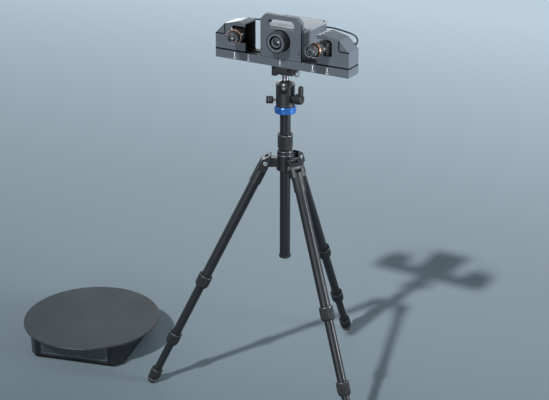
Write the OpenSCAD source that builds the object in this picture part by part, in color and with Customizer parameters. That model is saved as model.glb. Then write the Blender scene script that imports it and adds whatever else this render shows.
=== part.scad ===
// Structured-light 3D scanner set: a two-camera scanner head on a ball head and
// tripod, with the motor turntable that carries the workpiece.
// Z is up, the floor is z = 0 and the origin is the middle of the set's footprint.
// The head looks along -Y. All sizes are millimetres.

/* [Places on the floor] */
// Tripod axis, sideways from the middle of the footprint
stand_x = 241; // [200:1:300]
// Tripod axis, front to back from the middle of the footprint
stand_y = -58; // [-90:1:-30]
// Turntable axis, sideways from the tripod axis
table_x = -621; // [-680:1:-600]
// Turntable axis, front to back from the tripod axis
table_y = -74; // [-120:1:-40]
// Turn of the turntable's base about its axis
table_turn = 16; // [0:1:45]

/* [Legs] */
// Height of the leg pivots above the floor
pivot_height = 666; // [640:1:700]
// Distance of a leg pivot from the column axis
pivot_reach = 52; // [50:1:60]
// Angle between a leg and the column
leg_splay = 26; // [24:1:28]
// Diameter of the thickest leg tube
leg_tube_d = 27; // [26:0.5:30]
// Wall of every leg tube
leg_wall = 1.2; // [1:0.1:1.5]
// Distance from the pivot to the end of the first tube
first_reach = 386; // [370:1:400]
// How far the second tube shows below the first
second_reach = 198; // [180:1:210]
// Stock length of the second tube
second_stock = 330; // [300:1:345]
// Stock length of the third tube
third_stock = 300; // [270:1:315]
// Stock length of the fourth tube
fourth_stock = 265; // [240:1:280]
// Length of a twist lock collar
collar_len = 36; // [32:1:40]
// How far a twist lock collar stands proud of the tube that it grips
collar_proud = 5.5; // [4:0.5:7]
// Length of the collar above the foot
low_collar_len = 30; // [28:1:32]
// Radius of the rubber foot
foot_r = 15; // [13:0.5:17]

/* [Apex and column] */
// Diameter of the centre column
column_d = 28; // [26:0.5:30]
// Wall of the centre column
column_wall = 1.6; // [1.2:0.1:2]
// Length of the centre column
column_len = 409; // [380:1:430]
// Height of the column's top above the leg pivots
column_rise = 136; // [120:1:160]
// Radius of the apex casting's sleeve
apex_r = 21; // [20:0.5:23]
// Width of an apex tongue between the leg's ears
tongue_w = 18; // [16:0.5:20]
// Radius of a tongue's round end
tongue_r = 12.5; // [11.5:0.5:13]
// Thickness of a leg ear
ear_w = 9; // [7:0.5:10]
// Radius of the leg pivot pins
pin_r = 4; // [3:0.5:5]
// Length of the column's twist lock collar
column_collar_len = 43; // [38:1:46]

/* [Ball head] */
// Radius of the blue pan ring
pan_ring_r = 28.5; // [27:0.5:32]
// Height of the blue pan ring
pan_ring_h = 18; // [15:0.5:22]
// Radius of the ball housing
housing_r = 24.5; // [24:0.5:27]
// Radius of the ball
ball_r = 22; // [20:0.5:22]
// Height of the ball's centre above the pan ring
ball_rise = 48; // [46:0.5:52]
// Height of the housing's rim above the ball's centre
rim_rise = 12; // [11:0.5:13]
// Radius of the ball's stem
stem_r = 9; // [8:0.5:9]
// Height of the clamp's underside above the ball's centre
clamp_rise = 38; // [36:0.5:42]
// Depth of the clamp, front to back
clamp_depth = 34; // [30:1:40]
// Width of the quick release plate across the clamp
plate_w = 38; // [36:1:40]
// Thickness of the quick release plate
plate_h = 14; // [12:0.5:16]

/* [Scanner rail and covers] */
// Length of the rail
rail_len = 389; // [380:1:410]
// Depth of the rail, front to back
rail_depth = 51.4; // [50:0.2:56]
// Height of the rail
rail_h = 21.6; // [20:0.2:26]
// Distance of a camera cover's inner edge from the middle
cover_in = 104; // [103:0.5:108]
// Height of a cover's outer side above the rail's underside
cover_side_z = 64; // [60:1:68]
// Height of a cover's inner edge above the rail's underside
cover_in_z = 98; // [95:0.5:99]
// Height of a cover's ridge above the rail's underside
cover_ridge_z = 102.5; // [101:0.5:106]
// Distance of a cover's ridge from its inner edge
cover_ridge_in = 19; // [12:1:26]
// Size of the cover's 45 degree outer chamfer
cover_chamfer = 28; // [24:1:30]
// Wall of the covers
cover_wall = 3; // [2:0.5:3.5]
// Travel of a camera cover between its two marks
cover_travel = 41; // [30:1:41]

/* [Cameras] */
// Height of the lens axes above the rail's underside
lens_z = 69.5; // [68:0.5:71]
// Distance of a lens's front from the middle of the rail
lens_front_x = 111; // [108:0.5:113]
// Distance of a lens's front ahead of the rail's axis
lens_front_y = 79; // [76:0.5:82]
// Turn of each camera towards the middle
toe_in = 17; // [14:0.5:18]
// Side of the square camera body
camera_side = 30; // [28:0.5:31]
// Length of the camera body
camera_len = 38; // [34:0.5:40]
// Radius of the lens barrel
lens_r = 15.5; // [14:0.5:16]

/* [Projector] */
// How far the front plate's sides lie inside the case's sides
plate_inset = 1; // [0:0.5:2]
// Thickness of the front plate
plate_front_t = 15; // [13:0.5:16]
// Height of the front plate's top above the rail's underside
plate_top_z = 133; // [130:0.5:138]
// Size of the front plate's top chamfers
plate_chamfer = 14; // [10:1:16]
// Height of the projector lens's axis above the rail's underside
beam_z = 68.5; // [68:0.5:70]
// Radius of the projector lens's barrel
beam_r = 27; // [25:0.5:27]
// How far the barrel stands ahead of the front plate
beam_proud = 25; // [20:0.5:28]
// Width of the projector case
case_w = 120; // [116:1:120]
// How far the case reaches behind the rail's axis
case_back = 106; // [96:1:112]
// Height of the case's top above the rail's underside
case_top_z = 98; // [97:0.5:99]
// Wall of the case and thickness of its lid
case_wall = 2; // [1.5:0.5:2.5]
// How far the lid's sides stand out past the case's sides
lid_out = 2.3; // [1:0.1:2.3]
// Diameter of the camera cables
cable_d = 4.4; // [3.6:0.2:5]

/* [Turntable] */
// Diameter of the disc
disc_d = 400; // [380:5:420]
// Thickness of the disc
disc_t = 6; // [5:0.5:8]
// Height of the disc's top above the floor
disc_top = 77.5; // [74:0.5:82]
// Side of the square base
base_side = 285; // [270:1:290]
// Height of the base's top above the floor
base_top = 68; // [66:0.5:70]
// Height of the moulded feet
base_feet_h = 4; // [3:0.5:6]
// Wall of the base
base_wall = 3; // [2.5:0.5:4]
// Size of the base's corner chamfers
base_chamfer = 20; // [16:1:26]
// Module of the gears
gear_module = 2; // [1.5:0.5:2]
// Teeth of the gear under the disc
gear_teeth = 60; // [50:1:64]
// Teeth of the motor's pinion
pinion_teeth = 15; // [13:2:17]
// Height of the stub teeth above the pitch circle, in modules
addendum = 0.8; // [0.7:0.05:0.85]

/* [Clearances] */
// Gap between sliding tubes and round parts that turn in each other
slip = 0.3; // [0.2:0.05:0.4]
// Radial clearance of shafts and pins in their bores
pin_fit = 0.08; // [0.03:0.01:0.1]
// Gap between faces that move past each other
face_gap = 0.3; // [0.2:0.05:0.5]

/* [Hidden] */
$fn = 64;

LEFT_LEG = 0;
FRONT_LEG = 1;
REAR_LEG = 2;
leg_angles = [210, 330, 90];
big = 1000;
eps = 0.01;

casting_color = [0.16, 0.17, 0.19];
tube_color = [0.2, 0.21, 0.24];
rubber_color = [0.1, 0.1, 0.11];
steel_color = [0.8, 0.81, 0.83];
blue_color = [0.1, 0.3, 0.65];
body_color = [0.33, 0.35, 0.39];
plate_color = [0.6, 0.62, 0.65];
black_color = [0.07, 0.07, 0.08];
copper_color = [0.72, 0.4, 0.27];

// Leg tubes: 0 is the thickest. Each next one slides in the one before.
tube_step = 2 * (leg_wall + slip);
function tube_r(n) = (leg_tube_d - n * tube_step) / 2;
shoulder_top = 14;
shoulder_end = 64;
shoulder_wall = 2;
shoulder_block = 12;
shoulder_groove = 38;
shoulder_pitch = 6;
tube_seat = 30;
foot_flat = 1.5;
foot_ring = 3;
// Distance along the leg from the pivot to the foot's centre, so that its flat is on the floor
foot_s = (pivot_height - foot_r + foot_flat) / cos(leg_splay);
foot_top_s = foot_s - foot_ring;
end_1 = first_reach;
end_2 = first_reach + second_reach;
collar_below = collar_len / 2;
low_collar_below = low_collar_len / 2;
end_3 = foot_top_s - face_gap - low_collar_below;
top_2 = end_2 - second_stock;
top_3 = end_3 - third_stock;
top_4 = foot_top_s - fourth_stock;
rib_count = 18;
rib_r = 0.9;

// Apex
apex_drop = 21;
apex_top = 34;
apex_neck_r = 17.2;
apex_neck_h = 16;
apex_lip = 2;
apex_lip_h = 7;
heel_r = 4;
heel_x = -12;
heel_z = tongue_r + heel_r + face_gap;
// The heel's place in the leg's own frame
heel_across = heel_x * cos(leg_splay) + heel_z * sin(leg_splay);
heel_up = heel_z * cos(leg_splay) - heel_x * sin(leg_splay);
pin_cap_r = 5.5;
pin_cap_t = 1.6;
ear_in = tongue_w / 2 + face_gap;
ear_out = ear_in + ear_w;

// Column
column_r = column_d / 2;
column_top = pivot_height + column_rise;
column_bottom = column_top - column_len;
column_head = 12;
stud_r = 4.7;
stud_h = 11;
end_cap_r = column_r + 2;
end_cap_h = 9;
column_collar_proud = 6;

// Ball head
housing_z = column_top + pan_ring_h + face_gap;
ball_z = column_top + pan_ring_h + ball_rise;
rim_z = ball_z + rim_rise;
spigot_r = 12;
spigot_h = 6;
pan_knob_z = housing_z + 15;
pan_knob_angle = 210;
pan_knob_r = 10;
pan_knob_from = 31;
pan_knob_to = 49.5;
pan_shank_r = 3;
lock_z = housing_z + 22;
lock_r = 14;
lock_boss_r = 9;
lock_boss_to = 31;
lock_to = 50;
lock_lever_t = 9;
lock_lever_rise = 30;
lock_lever_tip_r = 7;
notch_angle = -72;
notch_w = 20;
shank_depth = 4;
clamp_z = ball_z + clamp_rise;
clamp_base_h = 8;
jaw_top = 10.5;
fixed_jaw_t = 12;
jaw_t = 7;
jaw_drop = 6;
clamp_left = plate_w / 2 + fixed_jaw_t;
clamp_right = plate_w / 2 + 3;
plate_z = clamp_z + clamp_base_h + face_gap;
plate_len = 50;
dovetail = 3;
clamp_rod_r = 2.5;
clamp_rod_up = 4;
clamp_rod_in = 8;
clamp_knob_r = 9;
clamp_knob_t = 9;

// Scanner head: heights in the head are measured from the rail's underside
rail_z = plate_z + plate_h;
front_y = -rail_depth / 2;
back_y = rail_depth / 2;
rail_end = rail_len / 2;
slot_w = 12;
slot_depth = 3.5;
tongue_h = slot_depth - 0.5;
tongue_from = cover_in + 6;
tongue_to = rail_end - 10;
cover_z = rail_h + face_gap;
ridge_x = cover_in + cover_ridge_in;
chamfer_top_x = rail_end - cover_chamfer;
chamfer_top_z = cover_side_z + cover_chamfer;
window_to = 146;
window_low = 48;
window_high = 89;
window_corner = 10;
screw_hole_r = 3.1;
screw_hole_h = 12;

// Lens stations, measured back along the lens axis from its front
barrel_to = 20;
flange_to = 23;
focus_to = 33;
mount_from = 42;
camera_from = 46;
flange_r = lens_r + 3.5;
focus_r = lens_r + 2;
focus_core_r = lens_r - 2.5;
rear_r = lens_r + 1;
thread_r = 12.5;
glass_r = lens_r - 3;
glass_depth = 5;
screw_r = 1.8;
screw_len = 7;
bracket_w = 18;

// Projector
plate_back_y = front_y + plate_front_t;
plate_half = case_w / 2 - plate_inset;
handle_half = 39.5;
handle_low = 98.5;
handle_high = 121;
handle_corner = 8;
beam_seat_r = 20;
engine_front = 12;
engine_back = 88;
engine_half = 34;
engine_top = 90;
lid_lip = 5;
lid_back = case_back + 2;
lid_w = case_w + 2 * lid_out;
vent_count = 9;
vent_w = 3;
vent_pitch = 7;
vent_low = 34;
vent_h = 36;
plug_x = 40;
plug_z = 75;
cover_plug_x = 182;
cover_plug_z = 72;

// Route of the right camera's cable, measured in the head; the left one is its mirror image
cable_route = [
  [plug_x, case_back, plug_z], [plug_x, 110, 75], [41, 113.5, 75.5], [45, 117, 76.5],
  [53, 118.5, 78], [64, 117, 79.5], [78, 113, 80], [94, 108.5, 80], [112, 102, 80],
  [130, 93, 80.5], [146, 82, 81.5], [160, 70, 82], [171, 59, 80.5], [178.5, 49, 77.5],
  [181.5, 41, 74.5], [cover_plug_x, 34, 72.5], [cover_plug_x, 29.5, cover_plug_z],
  [cover_plug_x, back_y, cover_plug_z]
];
cable_sides = 8;

// Turntable
disc_low = disc_top - disc_t;
disc_edge = 1.2;
base_half = base_side / 2;
base_low = base_feet_h;
groove_w = 3;
groove_depth = 1.5;
groove_in = 12;
foot_pad_r = 12;
foot_pad_in = 34;
gear_low = 36;
gear_h = 8;
hub_r = 20;
post_r = 12;
post_step_r = 16;
post_top = disc_low - 2;
backlash = 0.5;
gear_distance = gear_module * (gear_teeth + pinion_teeth) / 2;
motor_half = 21;
motor_top = gear_low - 3;
shaft_r = 2.5;
shaft_deep = 18;
shaft_up = 2;

// Frames

module at_stand() {
  translate([stand_x, stand_y, 0]) children();
}

// The leg's own frame: the pivot is the origin and the leg runs along -Z
module at_leg(i) {
  at_stand()
    rotate(leg_angles[i])
      translate([pivot_reach, 0, pivot_height])
        rotate([0, -leg_splay, 0])
          children();
}

module at_head() {
  at_stand() translate([0, 0, rail_z]) children();
}

// side is 1 for the right camera and -1 for the left one
module at_side(side) {
  at_head() mirror([side < 0 ? 1 : 0, 0, 0]) children();
}

// The lens's own frame: its front is the origin and the lens runs back along +Z
module at_lens(side) {
  at_side(side)
    translate([lens_front_x, -lens_front_y, lens_z])
      rotate([0, 0, -toe_in])
        rotate([-90, 0, 0])
          children();
}

module at_table() {
  translate([stand_x + table_x, stand_y + table_y, 0]) rotate(table_turn) children();
}

// Shapes

module ring(outer, inner, from, to) {
  translate([0, 0, from])
    difference() {
      cylinder(r = outer, h = to - from);
      translate([0, 0, -1]) cylinder(r = inner, h = to - from + 2);
    }
}

// A cylinder along +X, turned about Z
module spoke(angle, r, from, to) {
  rotate(angle) translate([from, 0, 0]) rotate([0, 90, 0]) cylinder(r = r, h = to - from);
}

// A ribbed sleeve: a round with small grooves along it
module ribbed(r, h, count, groove) {
  linear_extrude(height = h)
    difference() {
      circle(r = r);
      for (k = [0 : count - 1])
        rotate(k * 360 / count) translate([r, 0]) circle(r = groove, $fn = 16);
    }
}

// A twist lock collar from s = mid - above to mid + below, with the outer tube's end at mid
module leg_collar(i, mid, above, below, outer_r, inner_r) {
  r = outer_r + collar_proud;
  color(rubber_color)
    at_leg(i)
      difference() {
        translate([0, 0, -mid - below]) ribbed(r, above + below, rib_count, rib_r);
        translate([0, 0, -mid - 1]) cylinder(r = outer_r + slip, h = above + 2);
        translate([0, 0, -mid - below - 1]) cylinder(r = inner_r + slip, h = below + 2);
      }
}

module leg_tube(i, n, top, end) {
  color(tube_color)
    at_leg(i) ring(tube_r(n), tube_r(n) - leg_wall, -end, -top);
}

// Flat outline of a leg ear: x outward and y up, about the pivot
module ear_outline() {
  circle(r = tongue_r);
  translate([-tongue_r, -shoulder_top - 2]) square([2 * tongue_r, shoulder_top + 2]);
  translate([heel_across, heel_up]) circle(r = heel_r);
  polygon([
    [heel_across - heel_r, heel_up], [heel_across + heel_r, heel_up],
    [tongue_r - 2, 5], [-tongue_r + 2, 5]
  ]);
}

module leg_shoulder(i) {
  sleeve_r = tube_r(0) + shoulder_wall;
  color(casting_color)
    at_leg(i)
      difference() {
        union() {
          for (y = [-ear_out, ear_in])
            translate([0, y + ear_w, 0])
              rotate([90, 0, 0]) linear_extrude(height = ear_w) ear_outline();
          translate([heel_across, ear_out, heel_up])
            rotate([90, 0, 0]) cylinder(r = heel_r, h = 2 * ear_out);
          translate([-tongue_r, -ear_out, -shoulder_top - shoulder_block])
            cube([2 * tongue_r, 2 * ear_out, shoulder_block]);
          translate([0, 0, -shoulder_end]) cylinder(r = sleeve_r, h = shoulder_end - shoulder_top);
        }
        translate([0, 0, -shoulder_end - 1])
          cylinder(r = tube_r(0), h = shoulder_end - tube_seat + 1);
        translate([0, big / 2, 0]) rotate([90, 0, 0]) cylinder(r = pin_r + pin_fit, h = big);
        for (s = [shoulder_groove : shoulder_pitch : shoulder_end - shoulder_pitch])
          ring(sleeve_r + 1, sleeve_r - rib_r, -s - rib_r, -s + rib_r);
      }
}

// The fourth tube with its rubber foot, cut flat at the floor
module leg_tip(i) {
  color(rubber_color)
    difference() {
      at_leg(i) {
        translate([0, 0, -foot_s]) cylinder(r = tube_r(3), h = foot_s - top_4);
        difference() {
          translate([0, 0, -foot_s]) sphere(r = foot_r);
          translate([0, 0, -foot_top_s]) cylinder(r = foot_r + 1, h = foot_r);
        }
      }
      at_stand() translate([-big / 2, -big / 2, -big]) cube([big, big, big]);
    }
}

module apex() {
  color(casting_color)
    at_stand()
      translate([0, 0, pivot_height])
        difference() {
          union() {
            translate([0, 0, -apex_drop]) cylinder(r = apex_r, h = apex_drop + apex_top);
            translate([0, 0, -apex_drop]) cylinder(r = apex_r + apex_lip, h = apex_lip_h);
            cylinder(r = apex_neck_r, h = apex_top + apex_neck_h);
            for (i = [LEFT_LEG : REAR_LEG])
              rotate(leg_angles[i]) {
                translate([pivot_reach, tongue_w / 2, 0])
                  rotate([90, 0, 0]) cylinder(r = tongue_r, h = tongue_w);
                translate([column_r + 1, -tongue_w / 2, -tongue_r])
                  cube([pivot_reach - column_r - 1, tongue_w, 2 * tongue_r]);
              }
          }
          translate([0, 0, -big / 2]) cylinder(r = column_r + slip, h = big);
          for (i = [LEFT_LEG : REAR_LEG])
            rotate(leg_angles[i])
              translate([pivot_reach, tongue_w, 0])
                rotate([90, 0, 0]) cylinder(r = pin_r + pin_fit, h = 2 * tongue_w);
        }
}

module leg_pins() {
  reach = ear_out + face_gap;
  color(steel_color)
    at_stand()
      for (i = [LEFT_LEG : REAR_LEG])
        rotate(leg_angles[i])
          translate([pivot_reach, 0, pivot_height])
            rotate([90, 0, 0]) {
              translate([0, 0, -reach]) cylinder(r = pin_r, h = 2 * reach);
              translate([0, 0, reach]) cylinder(r = pin_cap_r, h = pin_cap_t);
              translate([0, 0, -reach - pin_cap_t]) cylinder(r = pin_cap_r, h = pin_cap_t);
            }
}

module column() {
  color(tube_color)
    at_stand() {
      ring(column_r, column_r - column_wall, column_bottom, column_top - column_head + eps);
      translate([0, 0, column_top - column_head]) cylinder(r = column_r, h = column_head);
      translate([0, 0, column_top]) cylinder(r = stud_r, h = stud_h);
    }
}

module column_collar() {
  low = pivot_height + apex_top + face_gap;
  neck_top = pivot_height + apex_top + apex_neck_h + face_gap;
  color(rubber_color)
    at_stand()
      difference() {
        translate([0, 0, low])
          ribbed(column_r + column_collar_proud, column_collar_len, rib_count, rib_r);
        translate([0, 0, low - 1]) cylinder(r = apex_neck_r + slip, h = neck_top - low + 1);
        translate([0, 0, low]) cylinder(r = column_r + slip, h = column_collar_len + 1);
      }
}

module column_end_cap() {
  color(rubber_color)
    at_stand() {
      translate([0, 0, column_bottom - 2]) cylinder(r = end_cap_r, h = 2);
      ring(end_cap_r, column_r, column_bottom - eps, column_bottom + end_cap_h - 2);
    }
}

module pan_ring() {
  edge = 2.5;
  color(blue_color)
    at_stand()
      translate([0, 0, column_top])
        rotate_extrude()
          polygon([
            [stud_r, 0], [pan_ring_r - edge, 0], [pan_ring_r, edge],
            [pan_ring_r, pan_ring_h - edge], [pan_ring_r - edge, pan_ring_h],
            [spigot_r + slip, pan_ring_h], [spigot_r + slip, pan_ring_h - spigot_h - face_gap],
            [stud_r, pan_ring_h - spigot_h - face_gap]
          ]);
}

module ball_housing() {
  throat = ball_z - ball_r - 2;
  color(casting_color)
    at_stand()
      difference() {
        union() {
          translate([0, 0, housing_z]) cylinder(r = housing_r, h = rim_z - housing_z);
          translate([0, 0, housing_z - spigot_h]) cylinder(r = spigot_r, h = spigot_h + 1);
          translate([0, 0, lock_z]) spoke(0, lock_boss_r, housing_r - shank_depth, lock_boss_to);
        }
        translate([0, 0, ball_z]) sphere(r = ball_r + face_gap);
        translate([0, 0, throat]) cylinder(r = ball_r + face_gap, h = ball_z - throat);
        translate([0, 0, pan_knob_z])
          spoke(pan_knob_angle, pan_shank_r + pin_fit, housing_r - shank_depth, big);
        translate([0, 0, lock_z])
          spoke(0, pan_shank_r + pin_fit, lock_boss_to - shank_depth, big);
        rotate(notch_angle) {
          translate([0, -notch_w / 2, ball_z]) cube([big, notch_w, big]);
          translate([0, 0, ball_z]) rotate([0, 90, 0]) cylinder(d = notch_w, h = big);
        }
      }
}

module ball() {
  color(steel_color) at_stand() translate([0, 0, ball_z]) sphere(r = ball_r);
}

module ball_stem() {
  collar_h = 3;
  color(plate_color)
    at_stand()
      difference() {
        union() {
          translate([0, 0, ball_z]) cylinder(r = stem_r, h = clamp_rise);
          translate([0, 0, clamp_z - collar_h]) cylinder(r = stem_r + 5, h = collar_h);
        }
        translate([0, 0, ball_z]) sphere(r = ball_r + face_gap);
      }
}

// Outline of the quick release plate across the clamp, with a dovetail waist
module plate_outline(grow) {
  half = plate_w / 2 + grow;
  waist = half - dovetail;
  polygon([
    [-half, 0], [half, 0], [half, 2], [waist, 5], [waist, 7], [half, 10],
    [half, plate_h], [-half, plate_h], [-half, 10], [-waist, 7], [-waist, 5], [-half, 2]
  ]);
}

module plate_solid(grow, len) {
  at_stand()
    translate([0, len / 2, plate_z])
      rotate([90, 0, 0]) linear_extrude(height = len) plate_outline(grow);
}

module clamp_base() {
  color(casting_color)
    difference() {
      at_stand()
        translate([0, -clamp_depth / 2, clamp_z]) {
          translate([-clamp_left, 0, 0])
            cube([clamp_left + clamp_right, clamp_depth, clamp_base_h]);
          translate([-clamp_left, 0, -jaw_drop])
            cube([fixed_jaw_t, clamp_depth, jaw_drop + clamp_base_h + jaw_top]);
        }
      plate_solid(face_gap, 2 * plate_len);
      at_stand()
        translate([0, 0, clamp_z + clamp_rod_up])
          spoke(0, clamp_rod_r + pin_fit, clamp_rod_in - 2, big);
    }
}

module clamp_jaw() {
  jaw_in = clamp_right + face_gap;
  hook_in = plate_w / 2 - dovetail - 1;
  hook_z = clamp_base_h + face_gap;
  color(casting_color)
    difference() {
      at_stand()
        translate([0, -clamp_depth / 2, clamp_z]) {
          translate([jaw_in, 0, 0]) cube([jaw_t, clamp_depth, hook_z + jaw_top]);
          translate([hook_in, 0, hook_z]) cube([jaw_in + jaw_t - hook_in, clamp_depth, jaw_top]);
        }
      plate_solid(face_gap, 2 * plate_len);
      at_stand()
        translate([0, 0, clamp_z + clamp_rod_up])
          spoke(0, clamp_rod_r + pin_fit, 0, big);
    }
}

module clamp_knob() {
  from = clamp_right + 2 * face_gap + jaw_t;
  color(steel_color)
    at_stand()
      translate([0, 0, clamp_z + clamp_rod_up]) {
        spoke(0, clamp_rod_r, clamp_rod_in, from + 1);
        rotate([0, 90, 0]) translate([0, 0, from]) ribbed(clamp_knob_r, clamp_knob_t, 20, 0.8);
      }
}

module pan_lock_knob() {
  color(rubber_color)
    at_stand()
      translate([0, 0, pan_knob_z])
        rotate(pan_knob_angle)
          rotate([0, 90, 0]) {
            translate([0, 0, housing_r - shank_depth + face_gap])
              cylinder(r = pan_shank_r, h = pan_knob_from - housing_r + shank_depth);
            translate([0, 0, pan_knob_from])
              ribbed(pan_knob_r, pan_knob_to - pan_knob_from, 16, 1);
          }
}

module ball_lock_knob() {
  color(rubber_color)
    at_stand()
      translate([0, 0, lock_z]) {
        spoke(0, pan_shank_r, lock_boss_to - shank_depth + face_gap, lock_boss_to + 2);
        spoke(0, lock_r, lock_boss_to + face_gap, lock_to);
        translate([0, 0, lock_lever_rise])
          spoke(0, lock_lever_tip_r, lock_to - lock_lever_t, lock_to);
        translate([lock_to - lock_lever_t, -lock_lever_tip_r, 0])
          cube([lock_lever_t, 2 * lock_lever_tip_r, lock_lever_rise]);
      }
}

module quick_release_plate() {
  color(black_color)
    difference() {
      plate_solid(0, plate_len);
      at_stand() translate([0, 0, plate_z - 1]) cylinder(r = screw_hole_r, h = plate_h + 2);
    }
}

module rail() {
  color(body_color)
    at_head()
      difference() {
        translate([-rail_end, front_y, 0]) cube([rail_len, rail_depth, rail_h]);
        for (side = [-1, 1])
          mirror([side < 0 ? 1 : 0, 0, 0])
            translate([tongue_from - cover_travel - 2, -slot_w / 2, rail_h - slot_depth])
              cube([tongue_to - tongue_from + cover_travel + 4, slot_w, slot_depth + 1]);
        translate([0, 0, -1]) cylinder(r = screw_hole_r, h = screw_hole_h + 1);
      }
}

// Outline of a camera cover seen from the front, w inside its outer faces
module cover_outline(w) {
  slant = w * tan(22.5);
  rise = w / cos(atan2(cover_ridge_z - chamfer_top_z, chamfer_top_x - ridge_x));
  inner = cover_in - (w > 0 ? 5 : 0);
  polygon([
    [inner, cover_z + w], [rail_end - w, cover_z + w], [rail_end - w, cover_side_z - slant],
    [chamfer_top_x - slant, chamfer_top_z - w], [ridge_x, cover_ridge_z - rise],
    [inner, cover_in_z - rise]
  ]);
}

module cover_block(w) {
  translate([0, back_y - w, 0])
    rotate([90, 0, 0]) linear_extrude(height = rail_depth - 2 * w) cover_outline(w);
}

module camera_cover(side) {
  window_h = window_high - window_low;
  color(body_color)
    at_side(side) {
      difference() {
        cover_block(0);
        cover_block(cover_wall);
        translate([cover_in - 5, front_y - 1, window_low])
          cube([window_to - cover_in + 5 - window_corner, cover_wall + 2, window_h]);
        translate([cover_in - 5, front_y - 1, window_low])
          cube([window_to - cover_in + 5, cover_wall + 2, window_h - window_corner]);
        translate([window_to - window_corner, front_y + cover_wall + 1, window_high - window_corner])
          rotate([90, 0, 0]) cylinder(r = window_corner, h = cover_wall + 2);
      }
      translate([tongue_from, face_gap - slot_w / 2, rail_h - tongue_h])
        cube([tongue_to - tongue_from, slot_w - 2 * face_gap, tongue_h + face_gap + 1]);
    }
}

module camera(side) {
  half = camera_side / 2;
  wall_clear = cover_wall + face_gap;
  color(black_color) {
    at_lens(side)
      difference() {
        union() {
          translate([-half, -half, camera_from]) cube([camera_side, camera_side, camera_len]);
          translate([0, 0, mount_from]) cylinder(r = thread_r + 1.7, h = 5);
        }
        translate([0, 0, mount_from - 1]) cylinder(r = thread_r, h = 12);
      }
    intersection() {
      at_lens(side)
        translate([-bracket_w / 2, half - 1, camera_from + 12]) cube([bracket_w, big, bracket_w]);
      at_side(side)
        translate([cover_in, front_y + wall_clear, cover_z + cover_wall])
          cube([big, rail_depth - 2 * wall_clear, big]);
    }
  }
}

module lens(side) {
  color(black_color)
    at_lens(side)
      rotate_extrude()
        polygon([
          [0, glass_depth], [glass_r, glass_depth - 1], [glass_r, 0], [lens_r, 0],
          [lens_r, barrel_to], [focus_core_r, barrel_to], [focus_core_r, focus_to + 2 * face_gap],
          [rear_r, focus_to + 2 * face_gap], [rear_r, mount_from - 1], [thread_r, mount_from],
          [thread_r, mount_from + 5], [0, mount_from + 5]
        ]);
}

module focus_ring(side) {
  bore_r = focus_core_r + pin_fit;
  color(copper_color)
    at_lens(side) {
      ring(flange_r, bore_r, barrel_to + face_gap, flange_to);
      ring(focus_r, bore_r, flange_to - eps, focus_to);
      for (angle = [200, 290])
        rotate(angle)
          translate([0, 0, (flange_to + focus_to) / 2])
            rotate([0, 90, 0])
              translate([0, 0, focus_r - 1]) cylinder(r = screw_r, h = screw_len);
    }
}

module projector_front_plate() {
  top_low = plate_top_z - plate_chamfer;
  handle_h = handle_high - handle_low;
  color(body_color)
    at_head()
      translate([0, plate_back_y, 0])
        rotate([90, 0, 0])
          linear_extrude(height = plate_front_t)
            difference() {
              polygon([
                [-plate_half, rail_h], [plate_half, rail_h], [plate_half, top_low],
                [plate_half - plate_chamfer, plate_top_z], [plate_chamfer - plate_half, plate_top_z],
                [-plate_half, top_low]
              ]);
              polygon([
                [-handle_half, handle_low], [handle_half, handle_low],
                [handle_half, handle_high - handle_corner],
                [handle_half - handle_corner, handle_high],
                [handle_corner - handle_half, handle_high],
                [-handle_half, handle_high - handle_corner]
              ]);
              translate([0, beam_z]) circle(r = beam_r + slip);
            }
}

module projector_case() {
  half = case_w / 2;
  color(body_color)
    at_head()
      difference() {
        translate([-half, plate_back_y, rail_h])
          cube([case_w, case_back - plate_back_y, case_top_z - rail_h]);
        translate([case_wall - half, plate_back_y - 1, rail_h + case_wall])
          cube([case_w - 2 * case_wall, case_back - case_wall - plate_back_y + 1, big]);
        for (k = [0 : vent_count - 1])
          translate([(k - (vent_count - 1) / 2) * vent_pitch - vent_w / 2, 0, vent_low])
            cube([vent_w, big, vent_h]);
      }
}

module projector_lid() {
  half = lid_w / 2;
  color(plate_color)
    at_head() {
      translate([-half, plate_back_y, case_top_z])
        cube([lid_w, lid_back - plate_back_y, case_wall]);
      for (x = [-half, half - lid_out])
        translate([x, plate_back_y, case_top_z - lid_lip])
          cube([lid_out, lid_back - plate_back_y, lid_lip + eps]);
      translate([-half, case_back, case_top_z - lid_lip])
        cube([lid_w, lid_back - case_back, lid_lip + eps]);
    }
}

module projector_lens() {
  front = -beam_proud;
  recess = 10;
  glass = 15;
  color(black_color)
    at_head()
      translate([0, front_y, beam_z])
        rotate([-90, 0, 0])
          rotate_extrude()
            polygon([
              [0, front + recess - 3], [glass, front + recess], [glass + 4, front + recess],
              [beam_r - 3, front], [beam_r, front], [beam_r, plate_front_t + 4],
              [beam_seat_r, plate_front_t + 4], [beam_seat_r, engine_front - front_y],
              [0, engine_front - front_y]
            ]);
}

module light_engine() {
  color(black_color)
    at_head()
      translate([-engine_half, engine_front, rail_h + case_wall])
        cube([2 * engine_half, engine_back - engine_front, engine_top - rail_h - case_wall]);
}

// A tube along a list of points: each ring is square to the path there
function unit(v) = v / norm(v);
function heading(path, k) =
  unit(path[min(k + 1, len(path) - 1)] - path[max(k - 1, 0)]);
function ring_points(centre, ahead, r, sides) =
  let (across = unit(cross([0, 0, 1], ahead)), over = cross(ahead, across))
  [for (j = [0 : sides - 1])
    centre + r * cos(j * 360 / sides) * across + r * sin(j * 360 / sides) * over];
function tube_points(path, r, sides) =
  [for (k = [0 : len(path) - 1])
    each ring_points(path[k], heading(path, k), r, sides)];

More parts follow.
